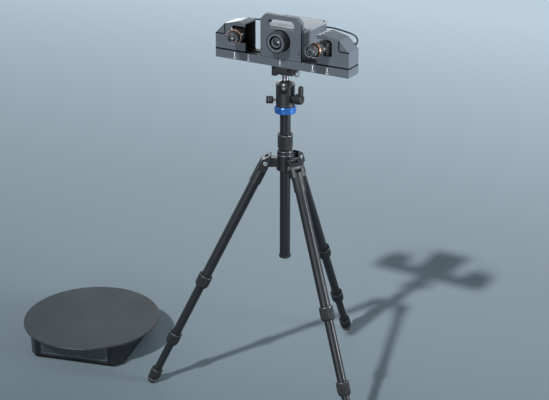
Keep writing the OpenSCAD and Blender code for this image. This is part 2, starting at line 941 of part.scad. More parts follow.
module swept_tube(path, d, sides) {
  rings = len(path);
  polyhedron(
    points = tube_points(path, d / 2, sides),
    faces = concat(
      [[for (j = [0 : sides - 1]) j]],
      [for (k = [0 : rings - 2], j = [0 : sides - 1])
        let (a = k * sides, b = a + sides, n = (j + 1) % sides)
        [a + j, b + j, b + n, a + n]],
      [[for (j = [sides - 1 : -1 : 0]) (rings - 1) * sides + j]]
    )
  );
}

module camera_cable(side) {
  color(black_color) at_side(side) swept_tube(cable_route, cable_d, cable_sides);
}

// Involute gear outline, worked out tooth by tooth
function involute(base_r, angle) =
  base_r * [cos(angle) + angle * PI / 180 * sin(angle), sin(angle) - angle * PI / 180 * cos(angle)];
function involute_angle(base_r, r) = sqrt(pow(r / base_r, 2) - 1) * 180 / PI;
function turned(p, a) = [p.x * cos(a) - p.y * sin(a), p.x * sin(a) + p.y * cos(a)];
function flank(base_r, low_r, tip_r, half, mirrored) =
  let (steps = 2)
  [for (k = [0 : steps])
    let (
      r = low_r + (tip_r - low_r) * k / steps,
      p = turned(involute(base_r, involute_angle(base_r, r)), -half)
    )
    mirrored ? [p.x, -p.y] : p];

module gear_outline(teeth) {
  pressure = 20;
  pitch_r = gear_module * teeth / 2;
  base_r = pitch_r * cos(pressure);
  root_r = pitch_r - 1.25 * gear_module;
  tip_r = pitch_r + addendum * gear_module;
  low_r = max(base_r + eps, root_r);
  at_pitch = involute_angle(base_r, pitch_r);
  spread = at_pitch - atan(at_pitch * PI / 180);
  half = 90 / teeth - backlash / pitch_r * 45 / PI + spread;
  low_side = flank(base_r, low_r, tip_r, half, false);
  high_side = flank(base_r, low_r, tip_r, half, true);
  steps = len(low_side);
  root_half = 180 / teeth - 0.2 * 90 / teeth;
  polygon([
    for (t = [0 : teeth - 1])
      each concat(
        [turned([root_r, 0], t * 360 / teeth - root_half)],
        [for (k = [0 : steps - 1]) turned(low_side[k], t * 360 / teeth)],
        [for (k = [0 : steps - 1]) turned(high_side[steps - 1 - k], t * 360 / teeth)],
        [turned([root_r, 0], t * 360 / teeth + root_half)]
      )
  ]);
}

module turntable_disc() {
  r = disc_d / 2;
  color(black_color)
    at_table()
      rotate_extrude($fn = 128)
        polygon([
          [0, disc_low], [r - disc_edge, disc_low], [r, disc_low + disc_edge],
          [r, disc_top - disc_edge], [r - disc_edge, disc_top], [0, disc_top]
        ]);
}

module turntable_gear() {
  color(plate_color)
    at_table()
      difference() {
        union() {
          translate([0, 0, gear_low]) linear_extrude(height = gear_h) gear_outline(gear_teeth);
          translate([0, 0, gear_low]) cylinder(r = hub_r, h = disc_low - gear_low);
        }
        translate([0, 0, gear_low - 1]) cylinder(r = post_r + pin_fit, h = post_top - gear_low + 2);
      }
}

module base_outline(w) {
  half = base_half - w;
  cut = base_chamfer - w * (2 - sqrt(2));
  polygon([
    [-half, -half + cut], [-half + cut, -half], [half - cut, -half], [half, -half + cut],
    [half, half - cut], [half - cut, half], [-half + cut, half], [-half, half - cut]
  ]);
}

module turntable_base() {
  groove_at = base_half - base_chamfer - groove_in;
  color(body_color)
    at_table() {
      difference() {
        translate([0, 0, base_low]) linear_extrude(height = base_top - base_low) base_outline(0);
        translate([0, 0, base_low + base_wall])
          linear_extrude(height = base_top - base_low - 2 * base_wall) base_outline(base_wall);
        translate([0, 0, base_low + base_wall]) cylinder(r = hub_r + 2, h = big);
        for (turn = [0 : 90 : 270], x = [-groove_at, groove_at])
          rotate(turn)
            translate([x - groove_w / 2, -base_half - 1, 0])
              cube([groove_w, groove_depth + 1, big]);
      }
      for (x = [-1, 1], y = [-1, 1])
        translate([x * (base_half - foot_pad_in), y * (base_half - foot_pad_in), 0])
          cylinder(r = foot_pad_r, h = base_low + 1);
      translate([0, 0, base_low]) cylinder(r = post_step_r, h = gear_low - face_gap - base_low);
      translate([0, 0, base_low]) cylinder(r = post_r, h = post_top - base_low);
    }
}

module turntable_motor() {
  color(steel_color)
    at_table()
      translate([gear_distance, 0, 0])
        difference() {
          translate([-motor_half, -motor_half, base_low + base_wall])
            cube([2 * motor_half, 2 * motor_half, motor_top - base_low - base_wall]);
          translate([0, 0, motor_top - shaft_deep]) cylinder(r = shaft_r + pin_fit, h = shaft_deep + 1);
        }
}

module turntable_pinion() {
  color(steel_color)
    at_table()
      translate([gear_distance, 0, 0]) {
        translate([0, 0, gear_low]) linear_extrude(height = gear_h) gear_outline(pinion_teeth);
        translate([0, 0, motor_top - shaft_deep + face_gap])
          cylinder(r = shaft_r, h = gear_low + gear_h + shaft_up - motor_top + shaft_deep - face_gap);
      }
}

module collar_1(i) {
  leg_collar(i, end_1, collar_below, collar_below, tube_r(0), tube_r(1));
}

module collar_2(i) {
  leg_collar(i, end_2, collar_below, collar_below, tube_r(1), tube_r(2));
}

module collar_3(i) {
  leg_collar(i, end_3, low_collar_below, low_collar_below, tube_r(2), tube_r(3));
}

leg_shoulder(LEFT_LEG);  // left_leg_shoulder
leg_tube(LEFT_LEG, 0, tube_seat, end_1);  // left_leg_tube_1
leg_tube(LEFT_LEG, 1, top_2, end_2);  // left_leg_tube_2
leg_tube(LEFT_LEG, 2, top_3, end_3);  // left_leg_tube_3
leg_tip(LEFT_LEG);  // left_leg_tip
collar_1(LEFT_LEG);  // left_leg_collar_1
collar_2(LEFT_LEG);  // left_leg_collar_2
collar_3(LEFT_LEG);  // left_leg_collar_3
leg_shoulder(FRONT_LEG);  // front_leg_shoulder
leg_tube(FRONT_LEG, 0, tube_seat, end_1);  // front_leg_tube_1
leg_tube(FRONT_LEG, 1, top_2, end_2);  // front_leg_tube_2
leg_tube(FRONT_LEG, 2, top_3, end_3);  // front_leg_tube_3
leg_tip(FRONT_LEG);  // front_leg_tip
collar_1(FRONT_LEG);  // front_leg_collar_1
collar_2(FRONT_LEG);  // front_leg_collar_2
collar_3(FRONT_LEG);  // front_leg_collar_3
leg_shoulder(REAR_LEG);  // rear_leg_shoulder
leg_tube(REAR_LEG, 0, tube_seat, end_1);  // rear_leg_tube_1
leg_tube(REAR_LEG, 1, top_2, end_2);  // rear_leg_tube_2
leg_tube(REAR_LEG, 2, top_3, end_3);  // rear_leg_tube_3
leg_tip(REAR_LEG);  // rear_leg_tip
collar_1(REAR_LEG);  // rear_leg_collar_1
collar_2(REAR_LEG);  // rear_leg_collar_2
collar_3(REAR_LEG);  // rear_leg_collar_3
apex();
leg_pins();
column();
column_collar();
column_end_cap();
pan_ring();
ball_housing();
ball();
ball_stem();
clamp_base();
clamp_jaw();
clamp_knob();
pan_lock_knob();
ball_lock_knob();
quick_release_plate();
rail();
camera_cover(-1);  // left_camera_cover
camera_cover(1);  // right_camera_cover
camera(-1);  // left_camera
camera(1);  // right_camera
lens(-1);  // left_lens
lens(1);  // right_lens
focus_ring(-1);  // left_focus_ring
focus_ring(1);  // right_focus_ring
projector_front_plate();
projector_case();
projector_lid();
projector_lens();
light_engine();
camera_cable(-1);  // left_cable
camera_cable(1);  // right_cable
turntable_disc();
turntable_gear();
turntable_base();
turntable_motor();
turntable_pinion();
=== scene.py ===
from math import atan2, cos, pi, radians, sin, tan, tau

import bmesh
import bpy
from mathutils import Matrix, Vector


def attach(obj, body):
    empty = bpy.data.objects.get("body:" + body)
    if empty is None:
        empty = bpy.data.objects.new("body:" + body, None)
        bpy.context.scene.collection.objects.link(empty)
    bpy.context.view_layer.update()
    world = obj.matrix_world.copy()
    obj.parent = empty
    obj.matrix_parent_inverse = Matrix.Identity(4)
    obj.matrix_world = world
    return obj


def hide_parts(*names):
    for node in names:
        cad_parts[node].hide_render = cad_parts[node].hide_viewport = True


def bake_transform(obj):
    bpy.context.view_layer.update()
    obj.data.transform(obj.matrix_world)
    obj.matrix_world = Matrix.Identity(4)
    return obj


# The set stands on the floor: a two-camera scanner head on a ball head and tripod, and a
# motor turntable. Pieces are drawn in millimetres in local frames and placed in metres.

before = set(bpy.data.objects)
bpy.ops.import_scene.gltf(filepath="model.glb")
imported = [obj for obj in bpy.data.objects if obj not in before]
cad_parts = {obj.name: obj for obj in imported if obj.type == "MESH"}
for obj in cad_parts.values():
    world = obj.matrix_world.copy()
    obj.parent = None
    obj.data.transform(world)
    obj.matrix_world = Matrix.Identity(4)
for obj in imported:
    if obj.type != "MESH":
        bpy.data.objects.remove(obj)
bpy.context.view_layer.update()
MM = 0.001


def shift(x, y, z):
    return Matrix.Translation((x, y, z))


def turn(angle, axis):
    return Matrix.Rotation(radians(angle), 4, axis)


# Local frames and heights above the floor, the same as in the part's source
STAND = shift(241, -58, 0)
COLUMN_END_Z = 393
PIVOT_Z = 666
COLUMN_LOCK_Z = 743.3
RING_Z = 802
SKIRT_Z = 820.3
PAN_KNOB_Z = 835.3
LOCK_KNOB_Z = 842.3
BALL_Z = 868
CLAMP_Z = 906
CLAMP_KNOB_Z = 910
RAIL_Z = 928.3
PIVOT_REACH = 52
SPLAY = 26
LEGS = {"left": 210, "front": 330, "rear": 90}
LENS_FRONT = (111, -79, 69.5)
TOE_IN = 17
HEAD = STAND @ shift(0, 0, RAIL_Z)
TABLE = shift(-380, -132, 0) @ turn(16, "Z")
MIRROR = {"right": Matrix.Identity(4), "left": Matrix.Scale(-1, 4, (1, 0, 0))}
LENS = {s: HEAD @ MIRROR[s] @ shift(*LENS_FRONT) @ turn(-TOE_IN, "Z") @ turn(-90, "X")
        for s in ("left", "right")}
LEG = {n: STAND @ turn(a, "Z") @ shift(PIVOT_REACH, 0, PIVOT_Z) @ turn(-SPLAY, "Y")
       for n, a in LEGS.items()}

# ---------------------------------------------------------------- camera

CAMERA_PLACE = (1.8375, -2.7886, 1.8596)
CAMERA_DOWN = 22.39
CAMERA_ROUND = 30.82
CAMERA_LENS = 84.59
CAMERA_SENSOR = 36

camera_data = bpy.data.cameras.new("camera")
camera_data.lens = CAMERA_LENS
camera_data.sensor_width = CAMERA_SENSOR
camera = bpy.data.objects.new("camera", camera_data)
camera.location = CAMERA_PLACE
camera.rotation_euler = (radians(90 - CAMERA_DOWN), 0, radians(CAMERA_ROUND))
bpy.context.scene.collection.objects.link(camera)
bpy.context.scene.camera = camera

# ---------------------------------------------------------------- materials

# Most of a noise texture's values lie between these two
NOISE_LOW = 0.3
NOISE_HIGH = 0.7


class Paint:
    """A node material built up one effect at a time."""

    def __init__(self, name, color, rough, metal=0.0, spec=0.5, coat=0.0, coat_rough=0.1):
        self.mat = bpy.data.materials.new(name)
        self.mat.use_nodes = True
        self.nodes = self.mat.node_tree.nodes
        self.links = self.mat.node_tree.links
        self.shader = self.nodes["Principled BSDF"]
        self.color = color
        self.rough = rough
        self.shader.inputs["Base Color"].default_value = (*color, 1)
        self.shader.inputs["Roughness"].default_value = rough
        self.shader.inputs["Metallic"].default_value = metal
        self.shader.inputs["Specular IOR Level"].default_value = spec
        self.shader.inputs["Coat Weight"].default_value = coat
        self.shader.inputs["Coat Roughness"].default_value = coat_rough
        self.place = self.nodes.new("ShaderNodeTexCoord").outputs["Object"]
        self.height = None

    def noise(self, scale, detail, stretch=None):
        """Noise in the piece's own space, finer with a larger scale."""
        source = self.place
        if stretch:
            scaled = self.nodes.new("ShaderNodeMapping")
            scaled.inputs["Scale"].default_value = stretch
            self.links.new(source, scaled.inputs["Vector"])
            source = scaled.outputs["Vector"]
        tex = self.nodes.new("ShaderNodeTexNoise")
        tex.inputs["Scale"].default_value = scale
        tex.inputs["Detail"].default_value = detail
        self.links.new(source, tex.inputs["Vector"])
        return tex.outputs["Fac"]

    def spread(self, fac, low, high):
        """The noise's middle values, stretched from low to high."""
        node = self.nodes.new("ShaderNodeMapRange")
        node.inputs["From Min"].default_value = NOISE_LOW
        node.inputs["From Max"].default_value = NOISE_HIGH
        node.inputs["To Min"].default_value = low
        node.inputs["To Max"].default_value = high
        self.links.new(fac, node.inputs["Value"])
        return node.outputs["Result"]

    def mottle(self, scale, amount):
        """Light and dark patches of the same colour."""
        ramp = self.nodes.new("ShaderNodeValToRGB")
        ramp.color_ramp.elements[0].position = NOISE_LOW
        ramp.color_ramp.elements[1].position = NOISE_HIGH
        ramp.color_ramp.elements[0].color = (*[c * (1 - amount) for c in self.color], 1)
        ramp.color_ramp.elements[1].color = (*[c * (1 + amount) for c in self.color], 1)
        self.links.new(self.noise(scale, 4), ramp.inputs["Fac"])
        self.links.new(ramp.outputs["Color"], self.shader.inputs["Base Color"])
        return self

    def worn(self, scale, amount):
        """Patches that shine more or less, as handled surfaces do."""
        out = self.spread(self.noise(scale, 4), self.rough - amount, self.rough + amount)
        self.links.new(out, self.shader.inputs["Roughness"])
        return self

    def grain(self, scale, strength, distance=0.0002, stretch=None):
        """A fine surface texture."""
        bump = self.nodes.new("ShaderNodeBump")
        bump.inputs["Strength"].default_value = strength
        bump.inputs["Distance"].default_value = distance
        self.links.new(self.noise(scale, 2, stretch), bump.inputs["Height"])
        if self.height:
            self.links.new(self.height, bump.inputs["Normal"])
        self.height = bump.outputs["Normal"]
        self.links.new(self.height, self.shader.inputs["Normal"])
        return self


PAINTS = {
    "head": Paint("head_paint", (0.083, 0.097, 0.118), 0.40).mottle(9, 0.06).worn(22, 0.05)
    .grain(1500, 0.25, 0.00015).grain(260, 0.08, 0.0002),
    "case": Paint("case_paint", (0.082, 0.093, 0.112), 0.38).mottle(8, 0.05).worn(20, 0.05)
    .grain(1300, 0.2, 0.00015),
    "lid": Paint("lid_paint", (0.21, 0.22, 0.25), 0.36).mottle(8, 0.04).worn(18, 0.05)
    .grain(1300, 0.18, 0.00015),
    # Near-black paint for the faces inside the covers and on the rail: painted shade of the hollows
    "inside": Paint("inside_painted_shade", (0.008, 0.0085, 0.010), 0.55, spec=0.3).mottle(30, 0.1)
    .grain(900, 0.3),
    "casting": Paint("casting_paint", (0.0095, 0.0105, 0.013), 0.42, spec=0.36, coat=0.08,
                     coat_rough=0.3)
    .mottle(14, 0.1).worn(30, 0.07).grain(700, 0.35, 0.00025).grain(2200, 0.2, 0.0001),
    "tube": Paint("tube_anodised", (0.012, 0.0132, 0.0162), 0.34, spec=0.24)
    .mottle(12, 0.08).worn(16, 0.06).grain(2600, 0.14, 0.0001),
    "rubber": Paint("grip_rubber", (0.0105, 0.0116, 0.0135), 0.55, spec=0.28).mottle(40, 0.15)
    .worn(35, 0.08).grain(1100, 0.4, 0.0002),
    "foot": Paint("foot_rubber", (0.014, 0.014, 0.015), 0.62).mottle(40, 0.2)
    .worn(30, 0.08).grain(900, 0.45, 0.00025),
    "trim": Paint("trim_ring", (0.22, 0.23, 0.25), 0.3, metal=0.85).mottle(30, 0.1)
    .worn(40, 0.06).grain(1800, 0.1, 0.0001),
    "chrome": Paint("pin_chrome", (0.80, 0.81, 0.83), 0.16, metal=1).mottle(25, 0.04)
    .worn(60, 0.05).grain(1600, 0.06, 0.0001),
    "blue": Paint("blue_anodised", (0.022, 0.118, 0.37), 0.26, metal=0.55, coat=0.3)
    .mottle(20, 0.08).worn(35, 0.05).grain(2400, 0.12, 0.0001),
    "ball": Paint("ball_metal", (0.06, 0.06, 0.066), 0.3, metal=0.8).mottle(20, 0.1)
    .worn(25, 0.06).grain(1500, 0.15, 0.0001),
    "stem": Paint("stem_alloy", (0.21, 0.21, 0.23), 0.34, metal=0.85).mottle(25, 0.06)
    .worn(40, 0.06).grain(400, 0.15, 0.0001, (1, 1, 12)),
    "clamp": Paint("clamp_anodised", (0.036, 0.039, 0.045), 0.36, metal=0.5).mottle(18, 0.1)
    .worn(26, 0.06).grain(1800, 0.2, 0.0001),
    "steel": Paint("knob_steel", (0.40, 0.41, 0.43), 0.3, metal=1).mottle(30, 0.06)
    .worn(50, 0.06).grain(1200, 0.1, 0.0001),
    "shank": Paint("shank_bronze", (0.20, 0.15, 0.11), 0.34, metal=0.8).mottle(40, 0.1)
    .worn(50, 0.06).grain(1500, 0.1, 0.0001),
    "barrel": Paint("barrel_black", (0.013, 0.0135, 0.016), 0.46, spec=0.35, coat=0.05,
                    coat_rough=0.3)
    .mottle(20, 0.1).worn(35, 0.06).grain(2000, 0.18, 0.0001),
    "face": Paint("barrel_face", (0.088, 0.1, 0.12), 0.36).mottle(20, 0.08).worn(35, 0.05)
    .grain(1500, 0.2, 0.0001),
    # Black, made darker still: painted shade on the camera blocks under the covers' roofs; the
    # plate screws and the catch knob share it
    "camera": Paint("camera_black", (0.007, 0.007, 0.008), 0.5, spec=0.3).mottle(25, 0.1)
    .worn(30, 0.06).grain(1400, 0.25, 0.00015),
    "copper": Paint("copper_ring", (0.62, 0.31, 0.20), 0.30, metal=0.9).mottle(30, 0.06)
    .worn(45, 0.05).grain(1800, 0.08, 0.0001),
    "glass": Paint("lens_glass", (0.008, 0.009, 0.014), 0.06, spec=0.8, coat=1,
                   coat_rough=0.02)
    .mottle(60, 0.15).worn(70, 0.02).grain(60, 0.02, 0.0001),
    "engine": Paint("engine_moulding", (0.05, 0.05, 0.056), 0.5).mottle(20, 0.1)
    .grain(900, 0.3),
    "cable": Paint("cable_jacket", (0.012, 0.012, 0.013), 0.42).mottle(40, 0.15)
    .worn(40, 0.07).grain(1500, 0.25, 0.00015),
    "mark": Paint("mark_white", (0.86, 0.87, 0.88), 0.5).mottle(120, 0.03).grain(2500, 0.1),
    # Black for the dark seams and joints, and for the strips and ring that paint the shade in gaps
    "seam": Paint("seam_and_shade_black", (0.003, 0.003, 0.0035), 0.75, spec=0.15).mottle(60, 0.2)
    .grain(900, 0.2),
    "disc": Paint("disc_matt", (0.031, 0.039, 0.045), 0.55, spec=0.22).mottle(5, 0.05)
    .worn(9, 0.04).grain(2300, 0.22, 0.00012).grain(420, 0.06, 0.0002),
    "edge": Paint("disc_edge", (0.02, 0.021, 0.024), 0.4).mottle(12, 0.1).grain(1500, 0.2),
    "base": Paint("base_moulding", (0.008, 0.009, 0.011), 0.3, spec=0.35, coat=0.15,
                  coat_rough=0.15)
    .mottle(7, 0.07).worn(14, 0.05).grain(1900, 0.14, 0.0001),
    "panel": Paint("panel_gloss", (0.022, 0.029, 0.036), 0.16, coat=0.5, coat_rough=0.08)
    .mottle(6, 0.08).worn(12, 0.03).grain(140, 0.02, 0.0001),
    "line": Paint("panel_line", (0.13, 0.15, 0.18), 0.3).mottle(30, 0.08).grain(900, 0.1),
    "nylon": Paint("gear_nylon", (0.66, 0.65, 0.60), 0.45).mottle(20, 0.04)
    .grain(900, 0.15),
    "motor": Paint("motor_steel", (0.22, 0.22, 0.23), 0.4, metal=0.8)
    .mottle(20, 0.1).grain(500, 0.5, 0.0002, (1, 1, 30)),
    "brass": Paint("pinion_brass", (0.66, 0.46, 0.18), 0.3, metal=1).mottle(25, 0.06)
    .grain(1500, 0.1, 0.0001),
}

# ---------------------------------------------------------------- mesh tools

# Edges bent more than SHARP degrees are bevelled, and more than SMOOTH degrees shaded as sharp
SHARP = 30
SMOOTH = 32


def fillet(points, radius, closed, steps=5):
    """The same outline with rounded corners. radius is one number, or one for each point."""
    count = len(points)
    sizes = radius if isinstance(radius, (list, tuple)) else [radius] * count
    out = []
    for k, p in enumerate(points):
        p = Vector(p)
        ends = not closed and k in (0, count - 1)
        if ends or sizes[k] <= 0:
            out.append(p)
            continue
        before, after = Vector(points[k - 1]), Vector(points[(k + 1) % count])
        u, v = before - p, after - p
        room = min(u.length, v.length)
        u.normalize()
        v.normalize()
        angle = u.angle(v)
        if angle > pi - 0.02:
            out.append(p)
            continue
        reach = min(sizes[k] / tan(angle / 2), room * 0.49)
        size = reach * tan(angle / 2)
        centre = p + (u + v).normalized() * (size / sin(angle / 2))
        a, b = p + u * reach - centre, p + v * reach - centre
        swing = atan2(a.x * b.y - a.y * b.x, a.dot(b))
        for j in range(steps + 1):
            t = swing * j / steps
            out.append(centre + Vector((a.x * cos(t) - a.y * sin(t), a.x * sin(t) + a.y * cos(t))))
    return out


def lathe(bm, profile, steps=64, ribs=0, closed=True):
    """Turns (radius, z) or (radius, z, rib depth) points about Z. The ribs run along Z."""
    rings = []
    for point in profile:
        r, z = point[0], point[1]
        depth = point[2] if len(point) > 2 else 0
        if r < 1e-6:
            rings.append([bm.verts.new((0, 0, z))])
            continue
        ring = []
        for j in range(steps):
            t = tau * j / steps
            cut = depth * (0.5 + 0.5 * cos(ribs * t)) ** 2 if depth else 0
            ring.append(bm.verts.new(((r - cut) * cos(t), (r - cut) * sin(t), z)))
        rings.append(ring)
    pairs = list(zip(rings, rings[1:]))
    if closed and len(rings[0]) > 1 and len(rings[-1]) > 1:
        pairs.append((rings[-1], rings[0]))
    for low, high in pairs:
        if len(low) == 1 and len(high) == 1:
            continue
        for j in range(steps):
            n = (j + 1) % steps
            quad = [low[j % len(low)], low[n % len(low)], high[n % len(high)], high[j % len(high)]]
            face = []
            for v in quad:
                if v not in face:
                    face.append(v)
            if len(face) > 2:
                bm.faces.new(face)


def soften(bm, width, segments=2):
    """Bevels the sharp edges."""
    bm.normal_update()
    edges = [e for e in bm.edges if len(e.link_faces) == 2
             and e.calc_face_angle(0) > radians(SHARP)]
    if edges and width > 0:
        bmesh.ops.bevel(bm, geom=edges, offset=width, offset_type="OFFSET", segments=segments,
                        profile=0.5, affect="EDGES", clamp_overlap=True)


def prism(bm, outline, low, high, holes=(), bevel=0.0, segments=2):
    """A solid between z low and high, with an outline and holes drawn in XY."""
    part = bmesh.new()
    edges = []
    for loop in [outline, *holes]:
        verts = [part.verts.new((p[0], p[1], low)) for p in loop]
        edges += [part.edges.new((verts[k - 1], verts[k])) for k in range(len(verts))]
    filled = bmesh.ops.triangle_fill(part, use_beauty=True, edges=edges)
    faces = [f for f in filled["geom"] if isinstance(f, bmesh.types.BMFace)]
    grown = bmesh.ops.extrude_face_region(part, geom=faces)
    bmesh.ops.translate(part, vec=(0, 0, high - low),
                        verts=[v for v in grown["geom"] if isinstance(v, bmesh.types.BMVert)])
    bmesh.ops.recalc_face_normals(part, faces=part.faces)
    bmesh.ops.dissolve_limit(part, angle_limit=radians(0.5), verts=part.verts, edges=part.edges)
    soften(part, bevel, segments)
    merge(bm, part)


def block(bm, low, high, bevel=0.0):
    """A box from its low corner to its high one."""
    part = bmesh.new()
    size = [h - l for l, h in zip(low, high)]
    middle = [(l + h) / 2 for l, h in zip(low, high)]
    bmesh.ops.create_cube(part, size=1, matrix=shift(*middle) @ Matrix.Diagonal((*size, 1)))
    soften(part, bevel)
    merge(bm, part)


def merge(bm, part, matrix=None):
    """Adds part to bm, moved by matrix, and frees it."""
    if matrix is not None:
        bmesh.ops.transform(part, matrix=matrix, verts=part.verts)
    holder = bpy.data.meshes.new("holder")
    part.to_mesh(holder)
    part.free()
    bm.from_mesh(holder)
    bpy.data.meshes.remove(holder)


def drawn(matrix, draw, *args, **words):
    """Geometry from one of the functions above, moved by matrix."""
    part = bmesh.new()
    draw(part, *args, **words)
    return part, matrix


def piece(name, parts, place, paint, body, replaces=(), keep=False):
    """One Blender object from a bmesh or (bmesh, matrix) parts, in millimetres in the frame place.

    keep leaves the faces turned as they are. Without a body, the piece is left unattached.
    """
    bm = bmesh.new()
    for part in parts if isinstance(parts, list) else [parts]:
        if isinstance(part, tuple):
            merge(bm, part[0], part[1])
        else:
            merge(bm, part)
    bmesh.ops.transform(bm, matrix=Matrix.Scale(MM, 4) @ place, verts=bm.verts)
    if place.determinant() < 0:
        bmesh.ops.reverse_faces(bm, faces=bm.faces)
    if not keep:
        bmesh.ops.recalc_face_normals(bm, faces=bm.faces)
    mesh = bpy.data.meshes.new(name)
    bm.to_mesh(mesh)
    bm.free()
    mesh.shade_smooth()
    mesh.set_sharp_from_angle(angle=radians(SMOOTH))
    mesh.materials.append(PAINTS[paint].mat)
    obj = bpy.data.objects.new(name, mesh)
    bpy.context.scene.collection.objects.link(obj)
    if body:
        settle(obj)
        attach(obj, body)
    if replaces:
        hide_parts(*replaces)
    return obj


def evaluate(obj):
    """Gives the object the mesh that its modifiers make."""
    bpy.context.view_layer.update()
    seen = obj.evaluated_get(bpy.context.evaluated_depsgraph_get())
    shaped = bpy.data.meshes.new_from_object(seen)
    obj.modifiers.clear()
    old = obj.data
    obj.data = shaped
    shaped.name = obj.name
    bpy.data.meshes.remove(old)
    return shaped


def settle(obj):
    """Shades flat faces evenly beside their rounded edges."""
    obj.modifiers.new("even", "WEIGHTED_NORMAL").keep_sharp = True
    evaluate(obj)


def node_mesh(node):
    """A copy of a CAD node's mesh, welded, in millimetres."""
    bm = bmesh.new()
    bm.from_mesh(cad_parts[node].data)
    bmesh.ops.transform(bm, matrix=Matrix.Scale(1 / MM, 4), verts=bm.verts)
    bmesh.ops.remove_doubles(bm, verts=bm.verts, dist=0.002)
    bmesh.ops.dissolve_limit(bm, angle_limit=radians(0.8), verts=bm.verts, edges=bm.edges)
    return bm


def recolour(node, paint):
    """Gives a paint to a CAD node that shows as it is."""
    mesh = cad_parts[node].data
    mesh.materials.clear()
    mesh.materials.append(PAINTS[paint].mat)


def dress(node, paint, body, width, segments=2, cuts=()):
    """Stands for a CAD node: the same shape with rounded edges, and with the cutters cut out."""
    bm = node_mesh(node)
    soften(bm, width, segments)
    obj = piece(node + "_body", bm, Matrix.Identity(4), paint, None, keep=True)
    for cutter in cuts:
        carve(obj, cutter)
    settle(obj)
    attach(obj, body)
    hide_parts(node)
    return obj


def repaint(obj, paint, place, test):
    """Gives another paint to the faces whose middle and normal, in place, pass the test."""
    obj.data.materials.append(PAINTS[paint].mat)
    back = (Matrix.Scale(MM, 4) @ place).inverted()
    for face in obj.data.polygons:
        if test(back @ face.center, (back.to_3x3() @ face.normal).normalized()):
            face.material_index = 1


def carve(obj, cutter):
    """Cuts the cutter's solid out of the piece, and removes the cutter."""
    cut = obj.modifiers.new("cut", "BOOLEAN")
    cut.operation = "DIFFERENCE"
    cut.solver = "EXACT"
    cut.object = cutter
    shaped = evaluate(obj)
    shaped.shade_smooth()
    shaped.set_sharp_from_angle(angle=radians(SMOOTH))
    bpy.data.objects.remove(cutter)


def tool(parts, place):
    """A solid for carve to cut with."""
    return piece("tool", parts, place, "seam", None)


def screw(r, h, socket):
    """A socket head screw along +Z from z = 0."""
    e = min(0.35, r * 0.2)
    bm = bmesh.new()
    lathe(bm, [(0, h * 0.45), (socket, h * 0.45), (socket, h - e / 2), (socket + e / 2, h),
               (r - e, h), (r, h - e), (r, 0), (0, 0)], 24)
    return bm


def band(r, z0, z1, inner, bevel, steps=64):
    """A plain ring with rounded edges."""
    bm = bmesh.new()
    outline = [(inner, z0), (r, z0), (r, z1), (inner, z1)]
    lathe(bm, fillet(outline, [0, bevel, bevel, 0], True, 3), steps)
    return bm


# ---------------------------------------------------------------- scanner head

FRONT = -25.7
BACK = 25.7
RAIL_END = 194.5

# Rail, with a tapped hole at each end and its white position marks
end_holes = tool([drawn(shift(x, 19, 9) @ turn(90, "Y"), lathe,
                        [(0, -2), (1.7, -2), (1.7, 2), (0, 2)], 24)
                  for x in (-RAIL_END, RAIL_END)], HEAD)
rail = dress("rail", "head", "scanner_head", 1.2, 3, [end_holes])
# The rail's upward faces and the faces within it take the near-black paint: painted shade
repaint(rail, "inside", HEAD, lambda p, normal: normal.z > 0.9 or -24 < p.y < 24 and p.z > 3
        and abs(p.x) < RAIL_END - 2)

MARKS = [(-136.7, "200"), (-95.6, "100"), (-1.4, "0"), (92.7, "100"), (134.2, "200")]
MARK_HALF = 0.95
MARK_LOW, MARK_HIGH = 7.6, 19.8
DIGIT_SIZE = 5.4
DIGIT_Z = 2.2


def number(word):
    """Plain raised digits, drawn in XY about the origin."""
    text = bpy.data.curves.new("digits", "FONT")
    text.body = word
    text.size = DIGIT_SIZE
    text.align_x = "CENTER"
    text.extrude = 0.06
    text.resolution_u = 3
    holder = bpy.data.objects.new("digits", text)
    bpy.context.scene.collection.objects.link(holder)
    bpy.context.view_layer.update()
    mesh = bpy.data.meshes.new_from_object(
        holder.evaluated_get(bpy.context.evaluated_depsgraph_get()))
    bpy.data.objects.remove(holder)
    bm = bmesh.new()
    bm.from_mesh(mesh)
    bpy.data.meshes.remove(mesh)
    return bm


mark_parts = []
for x, word in MARKS:
    mark_parts.append(drawn(Matrix.Identity(4), block, (x - MARK_HALF, FRONT - 0.06, MARK_LOW),
                            (x + MARK_HALF, FRONT + 0.3, MARK_HIGH)))
    mark_parts.append((number(word), shift(x, FRONT, DIGIT_Z) @ turn(90, "X")))
piece("position_marks", mark_parts, HEAD, "mark", "scanner_head")

# Camera covers: the CAD shell with a seam that parts the outer end's top from the front
SEAM_X = 165.6
SEAM_Z = 64.0
SEAM_TOP = 91.3
SEAM_HALF = 1.7
SEAM_DEPTH = 1.1
COVER_IN = 104
COVER_LOW = 21.9
INSIDE_DEPTH = 1.6
COVER_SCREWS = ((112, 30), (186, 30), (112, 90), (158, 88))
SHADE_STRIP_WIDTH = 2
SHADE_STRIP_HIGH = 4.0
COVER_ROOF = ((104, 98), (123, 102.5), (166.5, 92), (194.5, 64))


def roof_height(x):
    """Height of a cover's roof above the rail's underside."""
    for (x0, z0), (x1, z1) in zip(COVER_ROOF, COVER_ROOF[1:]):
        if x <= x1:
            return z0 + (z1 - z0) * (x - x0) / (x1 - x0)
    return COVER_ROOF[-1][1]


def cover_shade_faces(p, normal):
    """True of the faces well within the shell's outside, but not of its open side's rim: the faces
    that take the painted shade.
    """
    rim = p.x < COVER_IN + 2 and abs(normal.x) > 0.7
    return (not rim and FRONT + INSIDE_DEPTH < p.y < BACK - INSIDE_DEPTH
            and p.z > COVER_LOW + INSIDE_DEPTH and p.x < RAIL_END - INSIDE_DEPTH
            and roof_height(p.x) - p.z > INSIDE_DEPTH)


